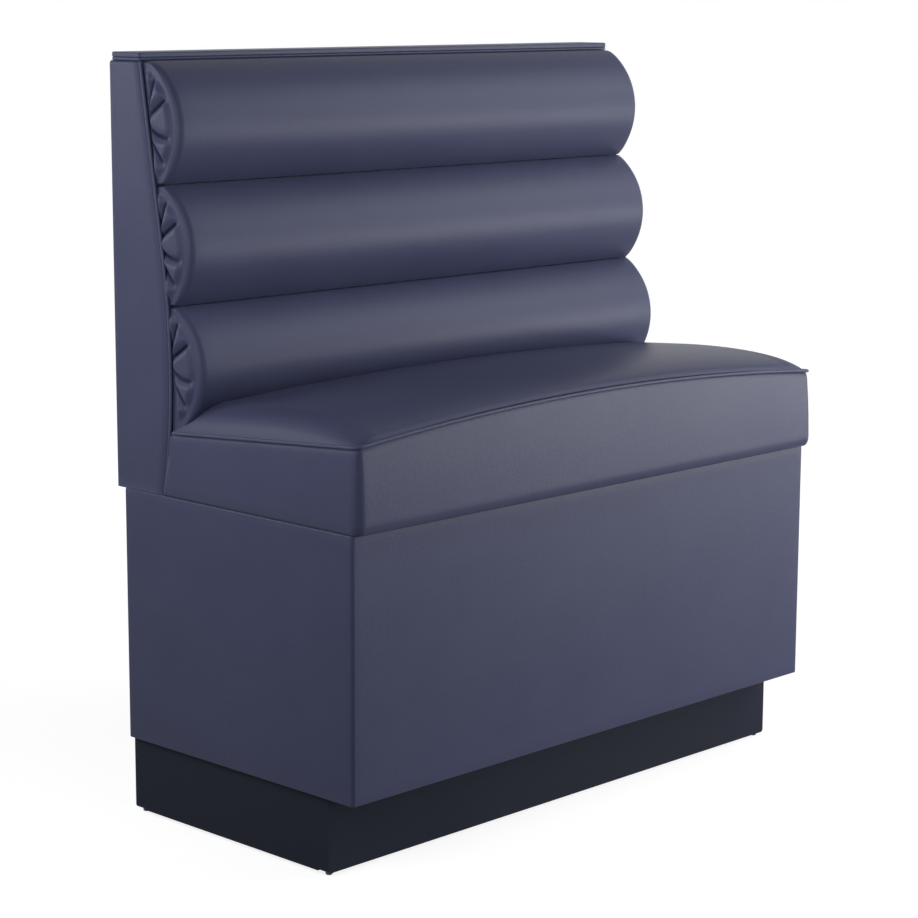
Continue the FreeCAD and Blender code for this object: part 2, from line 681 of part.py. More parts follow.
def end_blank(inset, outer, inner):
    """The end panel's form behind the piping, between two planes across the booth."""
    edges, foot, corner = end_edge(s.welt_room + inset, inset)
    rear = s.back_rear - inset
    spots = [corner, Vector(0, rear, corner.z), Vector(0, rear, s.base_top), foot]
    for start, end in zip(spots, spots[1:]):
        edges.append(Part.LineSegment(start, end).toShape())
    face = Part.Face(Part.Wire(Part.__sortEdges__(edges)))
    face.translate(Vector(outer, 0, 0))
    return face.extrude(Vector(inner - outer, 0, 0))


def roll_room():
    """The room in front of the end panels' boards that the rolls' ends take."""
    room = Part.makeBox(2 * s.pad_in, s.waist_depth, 2 * s.back_height,
                        Vector(-s.pad_in, 0, 0))
    room.translate(Vector(0, -s.waist_depth, 0))
    room.rotate(Vector(0, 0, 0), Vector(1, 0, 0), -s.roll_rake)
    behind = s.roll_stem + s.fit_gap
    room.translate(Vector(0, s.foot_valley + behind * s.rake_cos, s.foot_level - behind * s.rake_sin))
    return room


def end_cover(sign):
    """Foam and vinyl round an end panel, open on the side of the rolls."""
    outer, inner = sign * s.half_width, sign * s.back_in
    form = end_blank(0, outer, inner)
    chosen = []
    for edge in form.Edges:
        box = edge.BoundBox
        on_outside = abs(box.XMin - outer) + abs(box.XMax - outer) < s.fit_gap
        if on_outside and box.ZMax > s.base_top + s.fit_gap and box.YMin < s.back_rear:
            chosen.append(edge)
    form = form.makeFillet(s.end_edge_round, chosen)
    return form.cut(end_blank(s.end_pad, sign * s.pad_in, inner)).cut(roll_room())


def bracket_place(sign):
    """Where a bracket stands on the bottom rail, against an end panel."""
    return Vector(sign * s.back_in, s.bottom_rail_middle, s.bottom_rail_top)


def side_screw(sign, extra):
    """A wood screw through a bracket's upright leg, or its bore."""
    corner = bracket_place(sign)
    along = Vector(sign, 0, 0)
    start = corner + Vector(-sign * s.bracket_plate, 0, s.bracket_side * bracket_hole_share)
    length = s.board - s.overrun + s.bracket_plate
    shank = Part.makeCylinder(s.screw_radius + extra, length + extra, start, along)
    if extra:
        return shank
    head = Part.makeCylinder(s.screw_head_radius, s.screw_head, start, -along)
    return shank.fuse(head)


for side, minus in SIDES:
    sign = -1 if minus else 1
    core = end_blank(s.end_pad, sign * s.pad_in, sign * s.back_in).cut(roll_room())
    shaped("back_end_panel_" + side, core.cut(side_screw(sign, s.fit_gap)))
    shaped("back_end_cover_" + side, end_cover(sign))


def pipe(edges, radius):
    """A round cord along a path."""
    path = Part.Wire(edges)
    first = path.OrderedEdges[0]
    start = path.OrderedVertexes[0].Point
    tangent = first.tangentAt(first.FirstParameter)
    section = Part.Wire(Part.Circle(start, tangent, radius).toShape())
    return path.makePipeShell([section], True, False)


for side, minus in SIDES:
    sign = -1 if minus else 1
    edges, foot, corner = end_edge(s.welt_radius, s.welt_radius)
    under = Part.makeBox(4 * s.welt_radius, s.waist_depth, s.overrun,
                         Vector(-2 * s.welt_radius, s.waist_front, s.base_top - s.overrun))
    cord = pipe(edges, s.welt_radius).cut(under)
    shaped("back_end_welt_" + side, cord, across=sign * (s.pad_in + s.welt_radius))

# Back frame: a bottom rail, a rib, cleats and boards between the end panels.
back_x = ("-back_in", "back_in")
bracket_spots = [("back_in - bracket_side * %s" % bracket_hole_share, "bottom_rail_middle"),
                 ("-back_in + bracket_side * %s" % bracket_hole_share, "bottom_rail_middle")]
keep(padded_body("back_bottom_rail", "XY_Plane",
                 rectangle(back_x, ("bottom_rail_front", "rear_board_front")), "timber_depth",
                 start="base_top", holes=[at + ("bolt_radius + fit_gap",) for at in bolt_spots]
                 + [at + (screw_bore,) for at in bracket_spots]))
keep(padded_body("back_centre_rib", "YZ_Plane",
                 [("bottom_rail_front + board", "bottom_rail_top"),
                  ("board_behind + fit_gap", "board_under"),
                  ("board_behind + rib_top_reach + fit_gap", "top_board_bottom"),
                  ("rear_board_front", "top_board_bottom"), ("rear_board_front", "bottom_rail_top")],
                 "board", middle=True))
keep(block("back_top_board", back_x, ("top_board_front", "rear_board_front"),
           ("top_board_bottom", "back_top")))
keep(block("back_rear_board", back_x, ("rear_board_front", "rear_board_rear"), ("base_top", "back_top")))
keep(block("back_rear_cover", back_x, ("rear_board_rear + fit_gap", "back_rear"), ("base_top", "back_top")))
keep(raked(block("back_channel_board", ("-back_in + fit_gap", "back_in - fit_gap"), ("0", "channel_board"),
                 ("0", "board_reach")), "board_place", "board_level"))
keep(raked(block("back_end_cleat_left", ("-back_in", "-back_in + timber_depth"), ("0", "timber_depth"),
                 ("0", "cleat_reach")), "board_behind", "board_under"))
keep(raked(block("back_end_cleat_right", ("back_in - timber_depth", "back_in"), ("0", "timber_depth"),
                 ("0", "cleat_reach")), "board_behind", "board_under"))
screws("back_bolts", [at + ("bottom_rail_top",) for at in bolt_spots], "bolt_radius",
       "timber_depth + base_pad + timber_depth", "bolt_head_radius", "bolt_head", True, washer=True)


def bracket_shape(sign):
    """A steel angle with a hole in each leg."""
    corner = bracket_place(sign)
    low_x = corner.x if sign < 0 else corner.x - s.bracket_side
    low_y = corner.y - s.bracket_width / 2
    foot = Part.makeBox(s.bracket_side, s.bracket_width, s.bracket_plate, Vector(low_x, low_y, corner.z))
    wall_x = corner.x if sign < 0 else corner.x - s.bracket_plate
    wall = Part.makeBox(s.bracket_plate, s.bracket_width, s.bracket_side, Vector(wall_x, low_y, corner.z))
    bore = s.screw_radius + s.fit_gap
    down = Part.makeCylinder(bore, s.bracket_plate + 2 * s.overrun,
                             Vector(corner.x - sign * s.bracket_side * bracket_hole_share, corner.y,
                                    corner.z - s.overrun))
    return foot.fuse(wall).cut(down).cut(side_screw(sign, s.fit_gap)).removeSplitter()


def rail_screw(sign):
    """A wood screw through a bracket's foot into the bottom rail."""
    corner = bracket_place(sign)
    seat = corner + Vector(-sign * s.bracket_side * bracket_hole_share, 0, s.bracket_plate)
    shank = Part.makeCylinder(s.screw_radius, s.screw_bite + s.bracket_plate, seat, Vector(0, 0, -1))
    return shank.fuse(Part.makeCylinder(s.screw_head_radius, s.screw_head, seat))


shaped("back_brackets", Part.makeCompound([bracket_shape(sign) for sign in (-1, 1)]))
shaped("back_bracket_screws", Part.makeCompound([side_screw(sign, 0) for sign in (-1, 1)]
                                                + [rail_screw(sign) for sign in (-1, 1)]))


# Rolls: a circular front between two valleys, drawn in and rounded at both ends.
def on_rake(forward, along):
    """Height and depth of a point in front of the valleys' line."""
    return (s.foot_valley - forward * s.rake_cos + along * s.rake_sin,
            s.foot_level + forward * s.rake_sin + along * s.rake_cos)


def roll_curve():
    """Radius of a roll's front and how far its axis lies behind the valleys."""
    half = s.roll_pitch / 2 - s.roll_joint
    radius = (half ** 2 + s.roll_rise ** 2) / (2 * s.roll_rise)
    return radius, radius - s.roll_rise


def roll_wire(index, x, inset, behind):
    """A roll's section: its back, two short sides and the arc of its front."""
    radius, axis_back = roll_curve()
    middle = (index + 1 / 2) * s.roll_pitch
    half = math.sqrt((radius - inset) ** 2 - axis_back ** 2)

    def spot(forward, along):
        y, z = on_rake(forward, along)
        return Vector(x, y, z)
    low, high = middle - half, middle + half
    front = spot(radius - inset - axis_back, middle)
    return Part.Wire([Part.LineSegment(spot(-behind, low), spot(0, low)).toShape(),
                      Part.Arc(spot(0, low), front, spot(0, high)).toShape(),
                      Part.LineSegment(spot(0, high), spot(-behind, high)).toShape(),
                      Part.LineSegment(spot(-behind, high), spot(-behind, low)).toShape()])


def roll_form(index, depth, behind):
    """A roll, moved in all round by a depth: a ruled loft through its sections."""
    turn_radius = s.roll_end_round - depth
    stations = []
    for turn in ROUND_TURNS:
        along = math.radians(turn)
        stations.append((depth + turn_radius * (1 - math.cos(along)),
                         depth + turn_radius * (1 - math.sin(along))))
    sections = [roll_wire(index, -s.roll_half + step, inset, behind) for step, inset in stations]
    sections += [roll_wire(index, s.roll_half - step, inset, behind) for step, inset in reversed(stations)]
    return Part.makeLoft(sections, True, True)


for index, level in enumerate(("bottom", "middle", "top")):
    hollow = roll_form(index, s.skin, s.roll_stem + s.overrun)
    shaped("back_roll_cover_" + level, roll_form(index, 0, s.roll_stem).cut(hollow))
    shaped("back_roll_foam_" + level, roll_form(index, s.skin + s.soft_gap, s.roll_stem))


# Seat cushion: boxing that rounds under and leans in, cut to a crowned and arched top.
def foot_rear(z):
    """The cushion's rear at a level, just in front of the end panels' edge."""
    below = min(max(s.waist_level - z, 0), s.waist_height)
    bow = s.foot_curve - math.sqrt(s.foot_curve ** 2 - below ** 2)
    return s.waist_front + bow - s.seat_rear_gap


def boxing_inset(height):
    """How far the boxing stands in at a height above its rounded bottom."""
    return s.seat_lean * (height - s.seat_roll_under) / (s.seat_seam_height - s.seat_roll_under)


def boxing_wire(z, inset, depth):
    """A level outline of the cushion: four sides and four rounded corners."""
    left, front = -s.seat_half + inset, s.front_edge + inset
    right, rear = -left, foot_rear(z) - depth
    edges = []
    front_round, rear_round = s.seat_corner_round - inset, s.seat_rear_round - depth
    corners = [(left, rear, rear_round, 1, -1), (left, front, front_round, 1, 1),
               (right, front, front_round, -1, 1), (right, rear, rear_round, -1, -1)]
    joints = []
    for index, (x, y, radius, to_x, to_y) in enumerate(corners):
        slack = radius * (1 - math.cos(math.pi / 4))
        on_side = Vector(x, y + to_y * radius, z)
        on_end = Vector(x + to_x * radius, y, z)
        middle = Vector(x + to_x * slack, y + to_y * slack, z)
        ends = (on_end, on_side) if index in (0, 2) else (on_side, on_end)
        joints.append((ends[0], middle, ends[1]))
    for index, (start, middle, end) in enumerate(joints):
        edges.append(Part.Arc(start, middle, end).toShape())
        edges.append(Part.LineSegment(end, joints[(index + 1) % len(joints)][0]).toShape())
    return Part.Wire(edges)


def boxing_form(depth, reach):
    """The cushion's sides as a loft through level outlines."""
    rise = s.seat_roll_under - depth
    levels = [(-reach, s.seat_roll_under)] if depth else []
    for turn in ROUND_TURNS:
        along = math.radians(turn)
        levels.append((s.seat_roll_under - rise * math.cos(along),
                       s.seat_roll_under - rise * math.sin(along)))
    top = s.seat_seam_height + s.seat_arch_front + s.seat_crown
    for share in boxing_level_shares:
        levels.append((top * share, depth + boxing_inset(top * share)))
    return Part.makeLoft([boxing_wire(s.base_top + z, inset, depth) for z, inset in levels], True, True)


def seam_line(y):
    """The side seam's height at a depth, and how far the top arches over it."""
    travel = y - s.front_edge - s.seat_lean
    back_share = min(max(travel / (s.seat_foot - s.front_edge - s.seat_lean), 0), 1)
    level = s.base_top + s.seat_seam_height - travel * math.tan(math.radians(s.seat_pitch))
    return level, s.seat_arch_front * (1 - back_share) + s.seat_arch_rear * back_share


def crown_section(y, depth):
    """A slice across the cushion's top: side slopes and a broad arc between them."""
    seam, arch = seam_line(y)
    seam -= depth
    slope = min(max((y - s.front_edge - s.seat_lean - depth) / s.crown_front, 0), 1)
    crown = s.seat_crown * math.sqrt(1 - (1 - slope) ** 2)
    edge = s.seat_half - s.seat_lean - depth
    shoulder = edge - s.crown_side
    third = edge - s.crown_side * crown_third_share
    low = s.base_top - 2 * s.overrun
    beyond = edge + s.crown_side

    def arched(x):
        return seam + arch * (1 - (x / edge) ** 2)

    def spot(x, z):
        return Vector(x, y, z)
    high = arched(shoulder) + crown
    outer = seam - (arched(third) - seam) - s.skin
    side = [spot(beyond, low), spot(beyond, outer), spot(edge, seam),
            spot(third, arched(third) + crown * crown_third_rise_share), spot(shoulder, high)]
    mirror = [Vector(-v.x, v.y, v.z) for v in side]
    line = Part.LineSegment
    return Part.Wire([line(mirror[0], side[0]).toShape(), line(side[0], side[1]).toShape(),
                      line(side[1], side[2]).toShape(), Part.Arc(side[2], side[3], side[4]).toShape(),
                      Part.Arc(side[4], spot(0, seam + arch + crown), mirror[4]).toShape(),
                      Part.Arc(mirror[4], mirror[3], mirror[2]).toShape(),
                      line(mirror[2], mirror[1]).toShape(), line(mirror[1], mirror[0]).toShape()])


def crown_form(depth):
    """The cushion's top as a loft through slices from front to rear."""
    start = s.front_edge + s.seat_lean + depth
    stations = [start - s.seat_corner_round]
    stations += [start + s.crown_front * share for share in crown_station_shares]
    stations.append(s.back_rear)
    return Part.makeLoft([crown_section(y, depth) for y in stations], True, True)


def belly(extra):
    """The room that the lowest roll takes over the cushion."""
    radius, axis_back = roll_curve()
    y, z = on_rake(-axis_back, s.roll_pitch / 2)
    return Part.makeCylinder(radius + s.roll_clear + extra, 2 * (s.seat_half + s.overrun),
                             Vector(-s.seat_half - s.overrun, y, z), Vector(1, 0, 0))


def cushion(depth, reach):
    return boxing_form(depth, reach).common(crown_form(depth)).cut(belly(depth))


seat_form = cushion(0, 0)
shaped("seat_cover", seat_form.cut(cushion(s.skin, s.overrun)))
foam_depth = s.skin + s.soft_gap
under_frame = s.base_top - s.overrun
room_side, room_front = s.frame_half + s.soft_gap, s.frame_front - s.soft_gap
frame_room = Part.makeBox(2 * room_side, s.back_rear - room_front, s.pad_top + s.soft_gap - under_frame,
                          Vector(-room_side, room_front, under_frame))
skirt_room = Part.makeBox(4 * s.half_width, 4 * s.half_width, s.seat_roll_under + s.overrun,
                          Vector(-2 * s.half_width, -2 * s.half_width, under_frame))
shaped("seat_foam", cushion(foam_depth, s.overrun).cut(frame_room).cut(skirt_room))


def corded(points, radius):
    """Straight runs through the points, joined by tangent arcs as large as they allow."""
    edges = []
    start = points[0]
    radii = []
    for index in range(1, len(points) - 1):
        before, here, after = points[index - 1], points[index], points[index + 1]
        to_here, onward = (here - before), (after - here)
        short = min(to_here.Length, onward.Length)
        turn = to_here.getAngle(onward)
        reach = corner_reach_share * short
        enter = here - to_here.normalize() * reach
        leave = here + onward.normalize() * reach
        bend = reach / math.tan(turn / 2)
        radii.append(bend)
        inward = ((enter - here) + (leave - here)).normalize()
        sag = math.hypot(bend, reach) - bend
        edges.append(Part.LineSegment(start, enter).toShape())
        edges.append(Part.Arc(enter, here + inward * sag, leave).toShape())
        start = leave
    edges.append(Part.LineSegment(start, points[-1]).toShape())
    cord = pipe(edges, radius)
    length = sum(edge.Length for edge in edges)
    ratio = cord.Volume / (math.pi * radius ** 2 * length)
    print("piping length %.0f, least bend %.1f, volume ratio %.3f" % (length, min(radii), ratio))
    return cord


def seat_welt():
    """Piping round both sides and the arched front of the top, out and up from the seam."""
    stand = s.welt_radius + s.soft_gap
    lift = stand * welt_lift_share
    out = math.sqrt(stand ** 2 - lift ** 2)
    side_x, front_y = s.seat_half - s.seat_lean + out, s.front_edge + s.seat_lean - out
    bend = s.seat_corner_round - s.seat_lean + out
    corner = bend * (1 - math.tan(math.pi / 8))
    rear_end = s.waist_front - s.seat_rear_gap - s.seat_rear_round
    flank = [(side_x, rear_end), (side_x, front_y + corner), (side_x - corner, front_y)]
    spots = [(-x, y) for x, y in flank]
    spots += [(side_x * share, front_y) for share in front_welt_shares]
    spots += list(reversed(flank))
    points = []
    for x, y in spots:
        level, arch = seam_line(y)
        level += arch * (1 - (x / side_x) ** 2)
        inward = boxing_inset(level - s.base_top) - s.seat_lean
        if abs(x) == side_x:
            points.append(Vector(math.copysign(side_x - inward, x), y, level + lift))
        else:
            points.append(Vector(x, y + inward, level + lift))
    return corded(points, s.welt_radius)


shaped("seat_welt", seat_welt())

# Cap: a board under a padded cover with piping round its lower edge.
keep(block("cap_board", ("-cap_half + cap_pad", "cap_half - cap_pad"),
           ("cap_front + cap_pad", "cap_rear - cap_pad"), ("back_top", "back_top + cap_board_thick")))
cap = padded_body("cap_cover", "XY_Plane", rectangle(("-cap_half", "cap_half"), ("cap_front", "cap_rear")),
                  "cap_top - cap_skirt", start="cap_skirt")
rounded(cap, "cap_cover_edge", "cap_round", lambda edge: upright(edge) or at_level(s.cap_top)(edge))
pocket(cap, "cap_cover_inside", rectangle(("-cap_half + cap_pad", "cap_half - cap_pad"),
                                          ("cap_front + cap_pad", "cap_rear - cap_pad")),
       "cap_skirt - overrun", "back_top + cap_board_thick - cap_skirt + overrun")
keep(cap)


def cap_welt():
    """Piping round the cap, its ends meeting at the middle of the rear."""
    radius = s.cap_welt_radius
    x = s.cap_half - radius
    front, rear = s.cap_front + radius, s.cap_rear - radius
    turn = 2 * radius
    slack = turn * (1 - math.sqrt(1 / 2))
    z = s.back_top + radius
    edges = []
    start = Vector(-s.soft_gap, rear, z)
    for corner_x, corner_y, first in ((-x, rear, "x"), (-x, front, "y"), (x, front, "x"), (x, rear, "y")):
        to_x = 1 if corner_x < 0 else -1
        to_y = 1 if corner_y == front else -1
        along_x = Vector(corner_x + to_x * turn, corner_y, z)
        along_y = Vector(corner_x, corner_y + to_y * turn, z)
        enter, leave = (along_x, along_y) if first == "x" else (along_y, along_x)
        middle = Vector(corner_x + to_x * slack, corner_y + to_y * slack, z)
        edges.append(Part.LineSegment(start, enter).toShape())
        edges.append(Part.Arc(enter, middle, leave).toShape())
        start = leave
    edges.append(Part.LineSegment(start, Vector(s.soft_gap, rear, z)).toShape())
    return pipe(edges, radius)


shaped("cap_welt", cap_welt())

doc.recompute()
faults = [item.Name for item in doc.Objects if "Invalid" in item.State or "Error" in item.State]
for item in parts:
    if item.Shape.isNull() or not item.Shape.isValid():
        faults.append(item.Label)
if faults:
    raise RuntimeError("not built: " + ", ".join(faults))
os.makedirs("parts", exist_ok=True)
for item in parts:
    item.Shape.exportStep("parts/%s.step" % item.Label)
print("wrote %d sub-parts" % len(parts))
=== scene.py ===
import json
import math

import bmesh
import bpy
import numpy as np
from mathutils import Euler, Matrix, Vector


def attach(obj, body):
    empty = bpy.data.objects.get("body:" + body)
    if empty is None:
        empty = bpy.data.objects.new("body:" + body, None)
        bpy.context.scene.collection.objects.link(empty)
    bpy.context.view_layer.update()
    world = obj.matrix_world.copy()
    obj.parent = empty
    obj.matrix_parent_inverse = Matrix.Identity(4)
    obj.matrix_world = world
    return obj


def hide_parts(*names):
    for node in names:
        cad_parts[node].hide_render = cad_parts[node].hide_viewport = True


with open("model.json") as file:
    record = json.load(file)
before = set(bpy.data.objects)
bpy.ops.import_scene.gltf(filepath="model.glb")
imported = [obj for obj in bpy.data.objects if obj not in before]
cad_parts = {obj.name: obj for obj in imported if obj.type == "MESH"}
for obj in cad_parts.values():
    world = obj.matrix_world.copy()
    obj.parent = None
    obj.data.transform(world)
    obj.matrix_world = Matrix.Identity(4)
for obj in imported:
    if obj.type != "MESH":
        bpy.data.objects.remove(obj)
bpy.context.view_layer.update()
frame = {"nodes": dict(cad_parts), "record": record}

# The booth's forms are worked out in millimetres, in the CAD frame, and written in metres.
MM = 0.001
# Points this near are welded, and edges this short are dropped.
WELD_DISTANCE, LEAST_EDGE = 0.02, 0.001

# Base box, and the vinyl lapped over its boards
HALF_WIDTH = 584.0
BASE_FRONT, BASE_REAR = -282.0, 281.0
BASE_BOTTOM, BASE_TOP = 136.5, 578.5
BASE_CORNER_ROUND, BASE_REAR_ROUND = 7.0, 2.5
BASE_EDGE_ROUND = 3.5
BASE_LAP = 25.0
WRAP_THICKNESS = 3.5
BASE_FOOT_ROUND = 2.0
BASE_FOLD, BASE_HEM = 2.0, 1.0
BASE_LEAST_ROUND = 0.5
LEAST_FACING = 0.02

# Seat cushion
SEAT_HALF = 589.0
SEAT_FRONT = -300.0
SEAT_ROLL_UNDER, SEAT_ROLL_HEIGHT = 8.0, 18.0
SEAT_FRONT_ROUND, SEAT_REAR_ROUND = 19.0, 6.0
SEAT_INTO_PIPING = 1.5
SEAT_LEAN = 7.0
SEAM_HEIGHT = 140.0
SEAM_FALL = math.tan(math.radians(3.95))
ARCH_FRONT, ARCH_REAR = 28.0, 18.0
CROWN = 45.6
CROWN_SIDE, CROWN_FRONT = 60.0, 270.0
CROWN_THIRD_RISE = 0.7
LEAST_CROWN = 0.5
BOXING_BELLY = 1.2
SEAM_DIP, SEAM_DIP_WIDTH = 2.4, 2.2
SEAT_PIPING, SEAT_PIPING_END = 2.9, 147.5
PIPING_STAND, PIPING_LIFT = 1.2, 1.0
# The seam's height hangs on its place and the other way round, so it is worked out in passes.
SEAM_PASSES = 3
# Where outlines lie, as shares of the underside and of the boxing's height: closer near the seam
UNDERSIDE_SHARES = (0.05, 0.4, 0.8, 0.95)
BOXING_SHARES = (*np.linspace(0, 0.9, 19)[1:], 0.93, 0.95, 0.965, 0.98, 0.99, 1.0)
TOP_RINGS, TOP_RING_POWER = 51, 1.6

# End panels: the line of their front edge, and their cover
WAIST_Y, WAIST_Z = 154.6, 785.0
FOOT_Y = 175.0
PANEL_CURVE = 1250.0
BEND_Z = 978.5
BACK_REAR, BACK_TOP = 300.0, 1300.5
COVER_BEHIND_EDGE = 6.7
COVER_IN = 577.0
COVER_LIP, COVER_START = 0.8, 0.3
COVER_TURN_WIDTH, COVER_TURN_DEPTH = 16.0, 3.6
COVER_TUCK_WIDTH, COVER_TUCK_DEPTH = 1.3, 2.6
LINING_DEPTH, LINING_THICKNESS = 34.0, 1.0
LINING_OUT, LINING_IN = 0.4, 0.2
COVER_REAR_ROUND = 1.5
COVER_TOP_ROUND = 6.0
PANEL_IN = 559.0
PAD = 7.0
END_PIPING, END_PIPING_X = 3.2, 580.2

# Rolls
ROLL_HALF = 576.7
ROLL_PITCH = 201.0
ROLL_RISE = 54.7
ROLL_RAKE = math.radians(6.93)
VALLEY_Y, VALLEY_Z = 125.5, 700.2
ROLL_STEM, ROLL_FOOT = 25.0, 34.0
ROLL_END_ROUND = 13.0
ROLL_VALLEY_ROUND = 5.0
ROLL_LOWER_ROUND = 8.0
ROLL_GAP = 0.5
ROLL_TOP_RISE, ROLL_TOP_REACH = 7.5, 2.5
ROLL_CLEAR = 0.6
ROLL_CHORD = ROLL_PITCH / 2 - ROLL_GAP
ROLL_RADIUS = (ROLL_CHORD ** 2 + ROLL_RISE ** 2) / (2 * ROLL_RISE)
ROLL_AXIS_BACK = ROLL_RADIUS - ROLL_RISE
VALLEY_SHARE = 0.55
END_FACE_DEPTH = 0.05

# Rear panel
REAR_EDGE_ROUND = 2.0

# Cap
CAP_HALF = 584.0
CAP_FRONT, CAP_REAR = 221.0, 295.0
CAP_BOTTOM, CAP_TOP = 1305.9, 1314.5
CAP_CORNER_ROUND, CAP_EDGE_ROUND, CAP_FOOT_ROUND = 4.0, 3.0, 1.5
CAP_FULLNESS = 0.8
CAP_UNDER_RING = 10.0
CAP_TOP_RINGS = (5.0, 8.0, 13.0, 20.0, 28.0)
CAP_PIPING = 2.7


# Meshes from grids of points

def grid_faces(rows, columns, around, along):
    """Quads between neighbouring rows and columns, joined round where the grid closes."""
    row, column = np.meshgrid(np.arange(rows if around else rows - 1),
                              np.arange(columns if along else columns - 1), indexing="ij")
    below, beside = (row + 1) % rows, (column + 1) % columns
    return np.stack([row * columns + column, below * columns + column,
                     below * columns + beside, row * columns + beside], -1).reshape(-1, 4)


def sewn_piece(name, grids, material, replaces, crease=50.0):
    """One piece from grids of points in millimetres: welded, closed and facing outwards.

    A grid comes with whether its rows and its columns close. Edges that bend by more
    than the crease, in degrees, stay sharp.
    """
    points = np.concatenate([grid.reshape(-1, 3) for grid, around, along in grids])
    faces = []
    start = 0
    for grid, around, along in grids:
        rows, columns = grid.shape[:2]
        faces.append(grid_faces(rows, columns, around, along) + start)
        start += rows * columns
    faces = np.concatenate(faces)
    mesh = bpy.data.meshes.new(name)
    mesh.vertices.add(len(points))
    mesh.vertices.foreach_set("co", (points * MM).astype(np.float32).ravel())
    mesh.loops.add(faces.size)
    mesh.loops.foreach_set("vertex_index", faces.astype(np.int32).ravel())
    mesh.polygons.add(len(faces))
    mesh.polygons.foreach_set("loop_start", np.arange(0, faces.size, 4, dtype=np.int32))
    mesh.update(calc_edges=True)
    work = bmesh.new()
    work.from_mesh(mesh)
    bmesh.ops.remove_doubles(work, verts=work.verts, dist=WELD_DISTANCE * MM)
    bmesh.ops.dissolve_degenerate(work, edges=work.edges, dist=LEAST_EDGE * MM)
    rims = [edge for edge in work.edges if edge.is_boundary]
    if rims:
        bmesh.ops.holes_fill(work, edges=rims, sides=0)
    bmesh.ops.recalc_face_normals(work, faces=work.faces)
    work.to_mesh(mesh)
    work.free()
    mesh.polygons.foreach_set("use_smooth", np.ones(len(mesh.polygons), dtype=bool))
    mesh.set_sharp_from_angle(angle=math.radians(crease))
    mesh.materials.append(material)
    piece = bpy.data.objects.new(name, mesh)
    bpy.context.scene.collection.objects.link(piece)
    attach(piece, "booth")
    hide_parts(*replaces)
    return piece


def rounded_half(half, end, middle, radius, side_count, corner_count, front_count):
    """Half of a rounded rectangle from its left side, round one end, to its right side.

    The end lies at y = end, and the corners are quarter circles. Gives the places and
    their outward directions.
    """
    way = 1.0 if end > middle else -1.0
    turn = np.linspace(0, math.pi / 2, corner_count + 2)[1:-1]
    side_y = np.linspace(middle, end - way * radius, side_count)
    across = np.linspace(-(half - radius), half - radius, front_count)
    left = np.stack([np.full(side_count, -half), side_y], -1)
    corner_out = np.stack([-np.cos(turn), way * np.sin(turn)], -1)
    corner = np.array([-(half - radius), end - way * radius]) + radius * corner_out
    front = np.stack([across, np.full(front_count, end)], -1)
    places = np.concatenate([left, corner, front])
    outward = np.concatenate([np.tile([-1.0, 0.0], (side_count, 1)), corner_out,
                              np.tile([0.0, way], (front_count, 1))])
    mirror = np.array([-1.0, 1.0])
    tail = slice(side_count + corner_count - 1, None, -1)
    return (np.concatenate([places, places[tail] * mirror]),
            np.concatenate([outward, outward[tail] * mirror]))


def rounded_plan(half, front, rear, front_round, rear_round, side_count, corner_count, front_count):
    """A rounded rectangle seen from above, as places and outward directions.

    It starts at the middle of the left side and runs by the front, so the place at
    index i lies across from the one at index -i.
    """
    middle = (front + rear) / 2
    near, near_out = rounded_half(half, front, middle, front_round, side_count, corner_count, front_count)
    far, far_out = rounded_half(half, rear, middle, rear_round, side_count, corner_count, front_count)
    return np.concatenate([near, far[-2:0:-1]]), np.concatenate([near_out, far_out[-2:0:-1]])


# Points round a piping, and the circles of each of its rounded ends
PIPING_SIDES, PIPING_END_RINGS = 14, 4


def piping_tube(path, outward, radius, closed=False):
    """A round piping along a path: at each place, a circle of the outward direction and its side.

    An open piping's ends are half balls, drawn as circles that shrink by the cosine of a turn.
    """
    ahead = np.roll(path, -1, 0) - np.roll(path, 1, 0)
    if not closed:
        ahead[0] = path[1] - path[0]
        ahead[-1] = path[-1] - path[-2]
    ahead /= np.linalg.norm(ahead, axis=1, keepdims=True)
    out = outward - (outward * ahead).sum(1, keepdims=True) * ahead
    out /= np.linalg.norm(out, axis=1, keepdims=True)
    up = np.cross(ahead, out)
    sizes = np.full(len(path), radius)
    if not closed:
        turn = np.linspace(0, math.pi / 2, PIPING_END_RINGS + 1)[1:, None]
        steps = radius * np.sin(turn)
        head = path[0] - ahead[0] * steps[::-1]
        foot = path[-1] + ahead[-1] * steps
        path = np.concatenate([head, path, foot])
        shrink = radius * np.cos(turn[:, 0])
        sizes = np.concatenate([shrink[::-1], sizes, shrink])
        rings = PIPING_END_RINGS
        out = np.concatenate([np.repeat(out[:1], rings, 0), out, np.repeat(out[-1:], rings, 0)])
        up = np.concatenate([np.repeat(up[:1], rings, 0), up, np.repeat(up[-1:], rings, 0)])
    turn = np.linspace(0, 2 * math.pi, PIPING_SIDES, endpoint=False)[None, :, None]
    ring = np.cos(turn) * out[:, None] + np.sin(turn) * up[:, None]
    return path[:, None] + sizes[:, None, None] * ring, closed, True


# Materials: tones in linear light, the deep and the pale end of each finish's mottle

VINYL_DEEP, VINYL_PALE = (0.0366, 0.0415, 0.081), (0.046, 0.051, 0.094)
VINYL_RUBBED = (0.060, 0.067, 0.112)
# Painted shade: the share that the vinyl's colour is multiplied down to in the hollows between its pebbles
VINYL_HOLLOW_SHADE = (0.80, 0.80, 0.82)
VINYL_SPECULAR = 0.0675
LAMINATE_DEEP, LAMINATE_PALE = (0.0118, 0.0143, 0.0232), (0.0155, 0.0182, 0.0288)
LAMINATE_SPECULAR = 0.035
GLUE_SHARES = (0.6, 0.55, 0.5)
FLOOR_TONE = (0.22, 0.22, 0.23)
# Sockets of a Mix node in its colour mode: the two colours and the result
COLOUR_A, COLOUR_B, COLOUR_RESULT = 6, 7, 2
# Sockets of a Mix node in its vector mode
VECTOR_A, VECTOR_B, VECTOR_RESULT = 4, 5, 1


